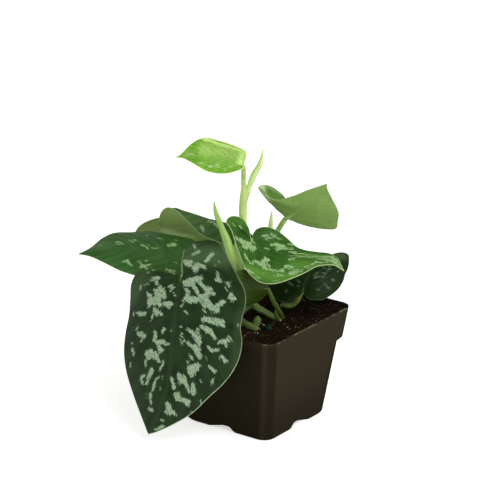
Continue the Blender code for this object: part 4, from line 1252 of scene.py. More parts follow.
        slot="dark_leaf", seed=24, sheen_washes=[(0.78, 0.85, 0.92, 0.9, 8.0, 0.7)],
        marks=[
            (0.61, 0.15, 0.63, 0.21, 0.7), (0.56, 0.16, 0.575, 0.25, 0.56),
            (0.62, 0.33, 0.59, 0.45, 0.56), (0.555, 0.33, 0.555, 0.43, 0.56),
            (0.74, 0.23, 0.69, 0.34, 0.42), (0.645, 0.44, 0.65, 0.51, 0.77),
            (0.705, 0.44, 0.68, 0.5, 0.56), (0.595, 0.7, 0.595, 0.75, 0.42),
            (0.465, 0.49, 0.435, 0.58, 0.56), (0.42, 0.59, 0.39, 0.74, 0.56),
            (0.5, 0.68, 0.495, 0.73, 0.35), (0.385, 0.38, 0.39, 0.43, 0.42),
            (0.52, -0.24, 0.495, -0.19, 0.56), (0.465, -0.45, 0.445, -0.35, 0.77),
            (0.43, -0.2, 0.445, -0.15, 0.42), (0.35, -0.5, 0.38, -0.46, 0.56),
            (0.8, -0.4, 0.84, -0.5, 0.6),
        ],
    ),
    # The young leaf at the top, with one side rolled over along its length.
    Blade(
        name="leaf_top",
        rib=[
            (-8, -7.5, 185.5), (-15.5, -7, 187.5), (-25, -5.5, 189.5), (-35.5, -4.5, 190.5),
            (-45.5, -4, 190.5), (-55.5, -1.5, 189.5),
        ],
        left=[
            (-8, -10, 184.5), (-10, -10.5, 183.5), (-14.5, -11, 182), (-19.5, -11.5, 181),
            (-26, -11, 181), (-33.5, -10, 182.5), (-39.5, -8, 185.5), (-45, -5.5, 188), (-50, -3, 189.5),
        ],
        right=[
            (-7.5, -7.5, 187.5), (-6.5, -6.5, 191), (-6, -6.5, 195.5), (-7.5, -8, 197),
            (-13, -8.5, 199.5), (-19.5, -7, 201.5), (-26.5, -5, 203), (-32.5, -1, 203.5),
            (-39, 1.5, 201.5), (-43, 1.5, 199), (-48, -0.5, 194.5), (-51.5, -2, 191.5),
        ],
        bulge=([0.05, 0.05, 0.03, 0.0], [-0.1, -0.28, -0.28, -0.15, 0.0, 0.0]), lobe=0.25,
        finish=LeafFinish(
            deep=(78, 138, 26), mid=(130, 186, 60), sheen_and_fleck=(212, 238, 144), silver=(190, 216, 150),
            silver_deep=(146, 182, 100), margin=(222, 240, 160), under=(204, 230, 148),
            under_deep=(186, 214, 128), under_vein=(196, 222, 146), margin_width=0.5, texture=1.1,
            dapple=0.75,
        ),
        slot="young_leaf", seed=31,
        sheen_washes=[
            (0.04, 0.4, 0.16, 0.72, 8.0, 0.95), (0.15, 1.0, 0.62, 1.0, 3.4, 1.0),
            (0.34, 0.44, 0.66, 0.44, 7.2, 0.37), (0.25, -0.04, 0.62, -0.06, 4.0, 0.12),
            (0.86, 0.5, 0.99, 0.3, 6.0, 0.16),
        ],
        marks=[
            (0.835, 0.31, 0.77, 0.16, 0.35), (0.77, 0.38, 0.76, 0.28, 0.4), (0.72, 0.28, 0.705, 0.2, 0.4),
            (0.69, -0.73, 0.63, -0.6, 0.45), (0.55, -0.65, 0.52, -0.62, 0.45),
            (0.505, -0.48, 0.475, -0.4, 0.6), (0.475, -0.58, 0.455, -0.48, 0.45),
            (0.365, -0.31, 0.33, -0.33, 0.6), (0.375, -0.62, 0.355, -0.64, 0.3),
            (0.61, -0.61, 0.585, -0.59, 0.25), (0.565, -0.41, 0.55, -0.4, 0.25),
        ],
    ),
    # A leaf seen from below, rolled like a horn round its base.
    Blade(
        name="leaf_upper_right",
        rib=[(22, 12, 141.5), (27.5, 10, 145.5), (33.5, 9, 150), (42, 9, 159), (50.5, 10, 167)],
        left=[
            (24.5, 13, 139), (29, 14, 137.5), (36, 16, 134.5), (44.5, 17, 132), (52.5, 17, 131),
            (57, 16, 132), (58, 13, 138.5), (58.5, 11, 144.5), (57, 10, 149.5), (52, 10, 159.5),
            (50, 10, 164.5),
        ],
        right=[
            (23, 18, 145), (22.5, 24, 148.5), (20.5, 27, 152), (15, 27, 157), (9.5, 24, 161),
            (5, 20, 162.5), (2.5, 15, 162.5), (5.5, 10, 162.5), (8.5, 7, 159.5), (12, 5, 157.5),
            (17, 4, 157), (21.5, 5, 158), (28.5, 6, 160), (36, 7, 163), (44, 8, 165.5),
        ],
        bulge=([0.0, -0.03, -0.03, 0.0], [0.0, -0.1, -0.12, -0.1, -0.05, 0.0]), lobe=0.38,
        finish=LeafFinish(
            deep=(80, 118, 44), mid=(106, 146, 64), sheen_and_fleck=(192, 216, 160), silver=(150, 184, 124),
            silver_deep=(124, 160, 96), margin=(150, 180, 110), under=(132, 162, 90),
            under_deep=(102, 136, 58), under_vein=(146, 178, 108), margin_width=0.5, veins=0.22,
        ),
        slot="leaf_underside", seed=38, scatter=30,
        sheen_washes=[(0.405, 1.0, 0.57, 1.0, 6.6, 1.0), (0.2, 1.0, 0.36, 1.0, 2.2, 0.3)],
    ),
    # A leaf folded along its rib, with both halves standing up.
    Blade(
        name="leaf_folded",
        rib=[
            (-64, 31, 121.5), (-54, 30, 118.5), (-41.5, 31, 110), (-27, 33, 99.5), (-13, 34, 97.5),
            (1.5, 35, 104),
        ],
        left=[
            (-65, 35, 125.5), (-64.5, 42, 130), (-61.5, 46, 134.5), (-57.5, 49, 136), (-50.5, 50, 133.5),
            (-41, 51, 130), (-33, 50, 127.5), (-22, 48, 125.5), (-10.5, 44, 123), (-2.5, 40, 119.5),
            (1, 37, 115),
        ],
        right=[
            (-66, 27, 128.5), (-67, 22, 137), (-65, 19, 143.5), (-61.5, 17, 147), (-57.5, 16, 147),
            (-53, 15, 144.5), (-49.5, 15, 141), (-44.5, 16, 135), (-40.5, 17, 130), (-36, 19, 125.5),
            (-30, 21, 122), (-20, 25, 117), (-9, 30, 112.5),
        ],
        bulge=([-0.05, -0.08, -0.08, -0.04], [-0.02, -0.06, -0.08, -0.04]), lobe=0.3,
        finish=LeafFinish(
            deep=(42, 78, 28), mid=(78, 112, 56), sheen_and_fleck=(92, 120, 78), silver=(170, 194, 154),
            silver_deep=(130, 158, 118), margin=(150, 172, 126), under=(132, 160, 92),
            under_deep=(130, 154, 84), under_vein=(158, 180, 116), margin_width=0.5, veins=0.5,
        ),
        slot="dark_leaf", seed=45, scatter=24, scatter_sides=(0.1, 1.0),
        marks=[
            (0.51, -0.7, 0.54, -0.62, 0.76), (0.52, -0.93, 0.58, -0.89, 0.51),
            (0.585, -0.86, 0.62, -0.83, 0.32), (0.67, -0.76, 0.685, -0.7, 0.25),
            (0.715, -1, 0.755, -1, 0.51), (0.74, -0.99, 0.785, -1, 0.45),
            (0.805, -0.49, 0.87, -0.26, 0.57), (0.83, -0.43, 0.905, -0.29, 0.64),
            (0.83, -0.66, 0.87, -0.54, 0.32),
        ],
    ),
    # The leaf behind the folded one, which hangs down over the back of the pot.
    Blade(
        name="leaf_back",
        rib=[(-58.5, 56, 122), (-60, 62, 115.5), (-62.5, 72, 105), (-65.5, 84, 91.5), (-68, 93, 79)],
        left=[
            (-61, 54, 125.5), (-67.5, 54, 126.5), (-74.5, 55, 124.5), (-81.5, 57, 120),
            (-85.5, 61, 113.5), (-87, 69, 103), (-82.5, 79, 91.5), (-75.5, 88, 84),
        ],
        right=[
            (-55, 56, 124.5), (-47.5, 57, 124), (-41.5, 59, 119.5), (-37, 64, 110), (-39.5, 73, 98.5),
            (-48, 83, 88), (-58.5, 90, 81.5),
        ],
        bulge=([0.06, 0.08, 0.06, 0.02], [0.06, 0.08, 0.06, 0.02]), lobe=0.34,
        finish=LeafFinish(
            deep=(40, 66, 30), mid=(58, 88, 40), sheen_and_fleck=(80, 104, 54), silver=(140, 168, 130),
            silver_deep=(108, 138, 100), margin=(110, 130, 70), under=(110, 136, 54),
            under_deep=(92, 116, 42), under_vein=(124, 146, 76), margin_width=0.4,
        ),
        slot="dark_leaf", seed=52, scatter=40,
    ),
    # A small dark leaf under the central one, its colours darkened as painted shade for the shade it lies
    # in.
    Blade(
        name="leaf_under",
        rib=[(9.5, -20, 100), (3.5, -24, 101.5), (-3.5, -28, 102.5), (-11, -34, 102.5), (-19, -42, 101)],
        left=[
            (8.5, -19, 96.5), (5.5, -18, 92.5), (1.5, -19, 90), (-3, -23, 89.5), (-8, -29, 90.5),
            (-13.5, -36, 94),
        ],
        right=[
            (8, -21, 105), (4.5, -22, 110), (-0.5, -23.5, 114), (-6.5, -25.5, 116.5), (-12, -29, 117),
            (-16, -35, 113.5), (-18.5, -40.5, 107.5),
        ],
        bulge=([-0.05, -0.05, -0.05, 0.0], [0.05, 0.05, 0.05, 0.0]), lobe=0.3,
        finish=LeafFinish(
            deep=(38, 58, 10), mid=(60, 84, 24), sheen_and_fleck=(84, 106, 50), silver=(110, 136, 84),
            silver_deep=(90, 116, 66), margin=(96, 116, 52), under=(76, 102, 32), under_deep=(54, 76, 16),
            under_vein=(96, 116, 54), margin_width=0.4,
        ),
        slot="dark_leaf", seed=59,
    ),
]
BLADES = {leaf.name: leaf for leaf in LEAVES}

# Stems: each list holds guides of x, y, z and radius, from the root end up

# The pale shoot, which lies on the soil, turns up and carries the young leaf.
STEM_TOP = [
    (18.5, -9.8, 70.5, 2.0), (15.5, -8.8, 73.5, 2.1), (8.5, -6.4, 77, 2.2), (1.5, -4, 80.5, 2.4),
    (-3.5, -1, 85, 2.6), (-6, 3, 92, 2.6), (-9.3, 4.6, 104.5, 2.7), (-11.2, 5.6, 115, 2.8),
    (-11.2, 6.8, 124, 2.8), (-8.9, 7.8, 134, 2.8), (-8.1, 8, 141, 2.8), (-8.1, 7, 151, 2.85),
    (-7.5, 5.7, 158.5, 2.9), (-7.2, 5, 163, 2.6),
    (-7.5, 4, 167, 1.95), (-7.7, 2.4, 171, 1.75), (-7.7, -1.5, 178, 1.7), (-7.9, -6.8, 184.5, 1.45),
]
# The rolled leaf that comes out of the pale shoot.
SPEAR_TOP = [
    (-3.6, 4.4, 167.2, 1.8), (-2.3, 4.3, 171, 2.2), (-0.2, 4, 175.8, 2.2), (2.8, 3.5, 181, 1.85),
    (4.8, 3, 187, 1.3), (5.3, 2, 194.2, 0.2),
]
# The thick rolled leaf in front of the pale shoot.
SPEAR_FRONT = [
    (-7, -0.5, 92.5, 1.4), (-9.5, -9, 102.5, 2.6), (-12.1, -13, 111.5, 3.8), (-13.9, -12, 119.5, 3.6),
    (-17.2, -10, 126.5, 3.1), (-20, -8.5, 133.5, 2.7), (-22.5, -7, 139.5, 2.2), (-25, -6, 146, 2.0),
    (-27, -5, 152, 1.4), (-28, -4, 159, 0.2),
]
# A thin rolled leaf behind the central leaf.
SPEAR_SMALL = [
    (2.5, 37, 67.5, 1.2), (3.5, 33, 74, 1.2), (5, 24, 88, 1.2), (7.5, 15, 104.5, 1.2),
    (9.5, 10, 118, 1.3), (10.5, 9, 126, 1.6), (11, 9, 134.5, 1.75), (11.5, 9, 141.5, 1.2),
    (12, 9, 147.5, 0.2),
]
# The stalk of the leaf at the upper right.
PETIOLE_UPPER_RIGHT = [
    (20.5, 37, 69, 2.1), (19, 34, 75.5, 2.1), (15, 28, 86.5, 2.0), (12.5, 21, 100.5, 1.9),
    (12, 16, 113.5, 1.9), (13.5, 13, 123.5, 1.9), (16, 12.5, 131, 1.9), (21.4, 12.1, 140.4, 1.7),
]
# The stalk of the central leaf.
PETIOLE_CENTRE = [
    (-3.5, 36, 68.5, 1.8), (-3.5, 33, 74, 1.8), (-3, 24, 86.5, 1.7), (-3, 12.5, 102, 1.7),
    (-2.5, 1.5, 116.5, 1.7), (-2, -7, 127, 1.6), (-2, -11.2, 131.5, 1.4),
]
# The stalk of the small leaf under the central one.
PETIOLE_UNDER = [
    (20, -5, 70, 1.7), (18.5, -7, 76, 1.7), (15.6, -10, 82.5, 1.75), (12.6, -13.5, 89.5, 1.7),
    (10.8, -17, 95.5, 1.5), (10.2, -18.4, 97.5, 1.2),
]
# The dry sheath at that stalk's foot.
SHEATH_UNDER = [
    (17.8, -9.4, 71, 1.3), (16, -9.9, 75, 1.5), (14.8, -10.4, 78.5, 1.1), (14.2, -10.8, 81.5, 0.2),
]
# The stalk of the leaf on the right, which grows from the one beside it.
PETIOLE_RIGHT = [
    (17.8, -7.4, 82.5, 1.0), (19.5, -7, 83.5, 1.6), (22.5, -6.5, 82.5, 2.0), (26.5, -6, 83, 2.0),
    (30, -6.5, 86.5, 1.8), (32.2, -6.9, 90.5, 1.2),
]
# The arched stalk of the front leaf, which grows from the pale shoot.
PETIOLE_FRONT = [
    (-1.5, -6, 82, 1.5), (-5, -9.5, 81.7, 1.6), (-8, -16, 82, 1.8), (-13, -24, 83, 1.8),
    (-22.5, -33, 89, 1.8), (-34.5, -39, 99.5, 1.7), (-44, -41.5, 109.5, 1.6), (-48.4, -42.9, 115.4, 1.3),
]
# The stalk of the leaf on the left.
PETIOLE_LEFT = [
    (-14, 16, 67.5, 1.9), (-15.5, 15, 72.5, 1.9), (-21.5, 13, 81.5, 1.8), (-31.5, 8, 96.5, 1.7),
    (-40, -2, 107.5, 1.5), (-45.4, -12.3, 116.4, 1.2),
]
# The stalk of the folded leaf.
PETIOLE_FOLDED = [
    (-13.5, 36, 66.5, 1.9), (-19, 36, 74, 1.9), (-32, 35, 89.5, 1.8), (-46, 34, 105, 1.7),
    (-58.5, 32.5, 116, 1.5), (-62.4, 31.4, 119.9, 1.2),
]
# The stalk of the leaf at the back.
PETIOLE_BACK = [
    (-10, 48, 64.5, 1.9), (-12, 48, 69, 1.9), (-22, 48, 81.5, 1.8), (-36.5, 51, 97, 1.7),
    (-50.5, 54.5, 112, 1.5), (-57.1, 55.7, 120.2, 1.2),
]
# The old shoot, and the part of it that turns up.
STUB = [
    (-16.5, 11, 70, 2.1), (-11, -7.5, 73, 2.3), (-5.5, -20, 73.5, 2.5), (0, -26.5, 73.3, 2.4),
    (2.6, -28.5, 72.6, 2.0),
]
STUB_KNOB = [
    (-0.5, -25, 73.5, 2.0), (1.2, -23.4, 75.5, 2.8), (2.0, -21.8, 78.2, 2.9), (1.2, -20.8, 80.2, 1.2),
]

SHOOT = StemFinish(
    stops=(
        (0.03, (84, 98, 40)), (0.15, (124, 162, 76)), (0.26, (140, 188, 76)), (0.44, (168, 220, 84)),
        (0.56, (218, 244, 148)), (0.8, (194, 222, 128)), (0.88, (158, 194, 94)), (0.96, (152, 188, 88)),
    ),
    streak=(214, 234, 160),
)
BUD = StemFinish(stops=((0.0, (198, 226, 134)), (1.0, (208, 232, 152))), streak=(226, 242, 180))
# Lighter low down, to 0.62 of its length, as painted light where the spear's lower part faces down and away
# from the lamps; its seam colour is painted shade.
SPEAR = StemFinish(
    stops=((0.42, (220, 255, 138)), (0.62, (164, 206, 108)), (1.0, (156, 196, 100))), streak=(186, 218, 132),
    scar_and_shade=(96, 142, 44),
)
GREEN = StemFinish(stops=((0.0, (78, 112, 40)), (0.8, (126, 162, 76))), streak=(176, 204, 128), streaks=0.5)
MOSSY = StemFinish(stops=((0.0, (74, 98, 30)), (1.0, (96, 122, 48))), streak=(118, 142, 70))
OLIVE = StemFinish(stops=((0.0, (58, 76, 22)), (1.0, (98, 122, 46))), streak=(134, 156, 80), streaks=0.5)
OLD = StemFinish(
    stops=((0.0, (78, 98, 36)), (1.0, (104, 126, 54))), streak=(132, 150, 82), roughness=0.55, streaks=0.5,
)

STEMS: list[Stem | RolledLeaf] = [
    Stem("stem_top", STEM_TOP, SHOOT, slot="shoot", nodes=(0.28,), channel=0.05, leaf=BLADES["leaf_top"]),
    RolledLeaf(
        "spear_top",
        SPEAR_TOP,
        BUD,
        tail=[(-5.8, 4.9, 158.0, 1.4), (-4.7, 4.6, 163.0, 1.9)],
    ),
    RolledLeaf("spear_front", SPEAR_FRONT, SPEAR),
    RolledLeaf("spear_small", SPEAR_SMALL, BUD),
    Stem("petiole_upper_right", PETIOLE_UPPER_RIGHT, GREEN, leaf=BLADES["leaf_upper_right"]),
    Stem("petiole_centre", PETIOLE_CENTRE, GREEN, leaf=BLADES["leaf_centre"]),
    Stem("petiole_under", PETIOLE_UNDER, OLIVE, leaf=BLADES["leaf_under"]),
    Stem("sheath_under", SHEATH_UNDER, OLIVE, channel=0.3, stands_for="petiole_under"),
    Stem("petiole_right", PETIOLE_RIGHT, OLIVE, leaf=BLADES["leaf_right"]),
    Stem("petiole_front", PETIOLE_FRONT, MOSSY, leaf=BLADES["leaf_front"]),
    Stem("petiole_left", PETIOLE_LEFT, GREEN, leaf=BLADES["leaf_left"]),
    Stem("petiole_folded", PETIOLE_FOLDED, GREEN, leaf=BLADES["leaf_folded"]),
    Stem("petiole_back", PETIOLE_BACK, GREEN, leaf=BLADES["leaf_back"]),
    Stem("stub", STUB, OLD, slot="stub", nodes=(0.45, 0.8), channel=0.0),
    Stem("stub_knob", STUB_KNOB, OLD, slot="stub", channel=0.45, stands_for="stub"),
]


# Pot and soil


@dataclass(frozen=True)
class PotFinish:
    """Satin dark plastic with a fine grain, scuffs, and dust from the soil, with painted light and shade."""

    # Painted light and shade: the tone of the lit sides, then the tone of the shaded ones.
    lit_tone: Colour = (51, 45, 35)
    shade_tone: Colour = (36, 32, 22)
    # Painted shade towards the foot.
    foot_shade: Colour = (22, 19, 12)
    dust: Colour = (66, 58, 44)
    # A pale rim colour: a little wear, and on the lit sides a painted highlight.
    rim_wear_and_highlight: Colour = (112, 126, 92)

    def dress(self) -> bpy.types.Material:
        """Painted light on two sides, painted shade towards the foot, dust, scuffs, and a paler rim of wear
        and painted highlight.
        """
        recipe = Recipe("pot_plastic")
        place = recipe.place()
        clouds = recipe.noise(place, 22.0, 4.0)
        grain = recipe.noise(place, 1300.0, 3.0)
        streak = recipe.noise(recipe.scaled(place, (1.0, 1.0, 0.12)), 240.0, 3.0)
        scuff = recipe.noise(recipe.scaled(place, (1.0, 1.0, 0.4)), 420.0, 4.0).ease(0.62, 0.72)
        below = recipe.number("below")
        painted_light = recipe.number("painted_light")
        # Painted light and shade: two sides and a band at each corner are lighter as if lit, the rest darker
        # as if in shade.
        ground = recipe.mix(painted_light + (clouds - 0.5) * 0.35, self.shade_tone, self.lit_tone)
        # Painted shade: darker towards the foot, away from the rim.
        ground = recipe.mix(below.ease(24.0, 78.0) * 0.45 + (clouds - 0.5) * 0.2, ground, self.foot_shade)
        ground = recipe.mix(streak.ease(0.45, 0.75) * 0.05, ground, self.dust)
        ground = recipe.mix(scuff * 0.12, ground, self.dust)
        speck = recipe.noise(place, 620.0, 3.0)
        dusty = (speck + below.ease(9.0, 0.0) * 0.22).ease(0.66, 0.76)
        ground = recipe.mix(dusty * 0.3, ground, self.dust)
        # The paler rim: a little wear all round, and a painted highlight along it on the lit sides.
        rim = below.ease(0.9, 0.2) * recipe.noise(place, 110.0, 3.0).ease(0.42, 0.62)
        ground = recipe.mix(rim * (painted_light.ease(0.3, 0.9) * 0.55 + 0.06), ground, self.rim_wear_and_highlight)
        height = grain * 0.7 + scuff * 0.25 + streak * 0.35
        return recipe.finish(
            Base_Color=ground,
            Roughness=0.42 + (clouds - 0.5) * 0.2 + dusty * 0.15,
            Normal=recipe.bump(height, 0.09, 0.5),
            Specular_IOR_Level=0.0,
        )


@dataclass
class Pot:
    """The moulded pot: a tapered square with set-back steps at two corners and notched feet.

    A notch lifts the points of the wall above it, and that lift dies out at the fade's height. A
    ring out of sight, under the floor or on it, counts as that far below the rim.
    """

    height: float = 77.0
    half_top: float = 50.0
    half_base: float = 39.5
    wall: float = 1.2
    floor: float = 5.0
    rim_round: float = 0.45
    foot_round: float = 0.8
    corner_top: float = 9.0
    corner_base: float = 8.5
    step_corner: float = 17.8
    step_low: float = 53.2
    step_high: float = 54.8
    notch_width: float = 21.0
    notch_back: float = 2.0
    notch_height: float = 4.0
    notch_depth: float = 6.5
    notch_slope: float = 4.5
    notch_fade: float = 14.0
    out_of_sight: float = 70.0
    corner_points: int = 18
    side_points: int = 44
    finish: PotFinish = field(default_factory=PotFinish)

    def step_share(self, z: float) -> float:
        """How far the section at height z has changed from the lower corners to the upper."""
        return float(smooth_step(self.step_low - 0.2, self.step_high + 0.2, np.array(z)))

    def ring(self, z: float, inset: float, level: float | None = None) -> Array:
        """The section of the wall at height z, moved in by inset, as a ring of points.

        Each quarter is an arc round its corner, and then a straight side up to the next arc. The
        points of a side lie close together at both edges of its notch, whose width shrinks
        evenly with the inset.
        """
        level = z if level is None else level
        share = level / self.height
        half = self.half_base + (self.half_top - self.half_base) * share - inset
        plain = self.corner_base + (self.corner_top - self.corner_base) * share
        turn = self.step_share(level)
        step = self.step_corner + (plain - self.step_corner) * turn
        edge = self.notch_edge(inset)
        flank = self.side_points // 4
        points = []
        for quarter in range(4):
            here = (step if quarter % 2 == 0 else plain) - inset
            there = (plain if quarter % 2 == 0 else step) - inset
            here, there = max(here, 0.3), max(there, 0.3)
            angle = np.linspace(0.0, math.pi / 2, self.corner_points)
            arc = np.stack([half - here + here * np.cos(angle), half - here + here * np.sin(angle)], -1)
            along = np.concatenate(
                [
                    np.linspace(half - here, edge + 0.04, flank + 1)[1:],
                    np.linspace(edge - 0.04, 0.04 - edge, self.side_points - 2 * flank),
                    np.linspace(-edge - 0.04, there - half, flank + 1)[:-1],
                ]
            )
            side = np.stack([along, half + 0 * along], -1)
            made = np.concatenate([arc, side])
            c, s = math.cos(quarter * math.pi / 2), math.sin(quarter * math.pi / 2)
            points.append(made @ np.array([[c, s], [-s, c]]))
        flat = np.concatenate(points)
        return np.concatenate([flat, np.full((len(flat), 1), z)], axis=1)

    def notch_edge(self, inset: float) -> float:
        """Half the notch's width at a distance inside the foot's outline."""
        share = min(max(inset / self.notch_depth, 0.0), 1.0)
        return (self.notch_width * (1.0 - share) + self.notch_back * share) / 2

    def foot_ring(self, inset: float, z: float = 0.0, rise: float = 1.0) -> Array:
        """A ring near the foot, raised over the notches.

        Args:
            inset: the distance inside the outline.
            z: the ring's height away from the notches.
            rise: the share of the notch's height that its points are raised by.

        Returns:
            The ring, whose raised points follow the lean of the wall and slope down at the edges.
        """
        lift = self.notch_height * rise
        low, high = self.ring(z, inset), self.ring(z + lift, inset)
        beside = np.minimum(np.abs(low[:, 0]), np.abs(low[:, 1]))
        edge = self.notch_edge(inset)
        slope = self.notch_slope * max(0.0, 1.0 - inset / self.notch_depth) + 0.05
        share = smooth_step(edge + slope / 3, edge - slope * 2 / 3, beside)[:, None]
        return low * (1.0 - share) + high * share

    def painted_light(self) -> Array:
        """How much painted light the wall has at each point of a ring: two opposite sides are painted lit,
        and two aren't.

        At a corner it runs over the arc, with a light band beside the shaded side that is a painted
        reflection, and a darker band before the lit side.
        """
        turn = np.linspace(0.0, 1.0, self.corner_points)
        places = [0.0, 0.1, 0.18, 0.36, 0.46, 0.86, 0.97]
        arc = np.interp(turn, places, [0.0, 0.1, 0.7, 0.7, 0.12, 0.12, 1.0])
        quarters = []
        for quarter in range(4):
            side = float(quarter % 2)
            ends = arc if side else arc[::-1]
            quarters += [ends, np.full(self.side_points, side)]
        return np.concatenate(quarters)

    def build(self) -> bpy.types.Object:
        """Builds the pot as one closed sheet, from under the floor, up outside and down inside."""
        rows, belows = [], []

        def add(ring: Array, below: float) -> None:
            """Adds one ring and its distance below the rim."""
            rows.append(ring)
            belows.append(np.full(len(ring), below))

        deep = self.ring(0.0, self.notch_depth)
        for share in (0.0, 0.35, 0.7, 0.98, 1.0):
            add(deep * [share, share, 1.0], self.out_of_sight)
        for inset in (self.notch_depth - 0.02, 5.0, 3.5, 2.0, 1.0):
            add(self.foot_ring(inset), self.out_of_sight)
        for step in np.linspace(0.0, 1.0, 5):
            turn = step * math.pi / 2
            z = self.foot_round * (1.0 - math.cos(turn))
            add(self.foot_ring(self.foot_round * (1.0 - math.sin(turn)), z), self.out_of_sight)
        heights = np.concatenate(
            [
                np.linspace(2.4, self.notch_fade, 7),
                np.linspace(17.0, self.step_low - 0.8, 12),
                np.linspace(self.step_low - 0.3, self.step_high + 0.3, 9),
                np.linspace(self.step_high + 0.8, self.height - 1.4, 11),
                [self.height - 0.9, self.height - self.rim_round],
            ]
        )
        for z in heights:
            add(self.foot_ring(0.0, z, max(0.0, 1.0 - z / self.notch_fade)), self.height - z)
        for step in np.linspace(0.15, 1.0, 6):
            turn = step * math.pi / 2
            z = self.height - self.rim_round * (1.0 - math.sin(turn))
            add(self.ring(z, self.rim_round * (1.0 - math.cos(turn))), 0.0)
        for step in np.linspace(0.0, 0.85, 6):
            turn = step * math.pi / 2
            z = self.height - self.rim_round * (1.0 - math.cos(turn))
            add(self.ring(z, self.wall - self.rim_round * (1.0 - math.sin(turn))), 0.0)
        above = (76.4, 75.0, 72.0, 66.0, 60.0, self.step_high)
        for z in (*above, 54.0, self.step_low, 40.0, 24.0, 10.0, self.floor):
            add(self.ring(z, self.wall), self.height - z)
        last = self.ring(self.floor, self.wall)
        for share in (0.9, 0.5, 0.0):
            add(last * [share, share, 1.0], self.out_of_sight)
        points = np.stack(rows)
        fields = {"below": np.stack(belows), "painted_light": np.broadcast_to(self.painted_light(), points.shape[:2])}
        grid = Grid(points, fields, wrap=True)
        made = Skin.from_grids([grid]).make("dressed_pot", [self.finish.dress()], "pot")
        made.data.set_sharp_from_angle(angle=math.radians(40))
        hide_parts("pot")
        return made


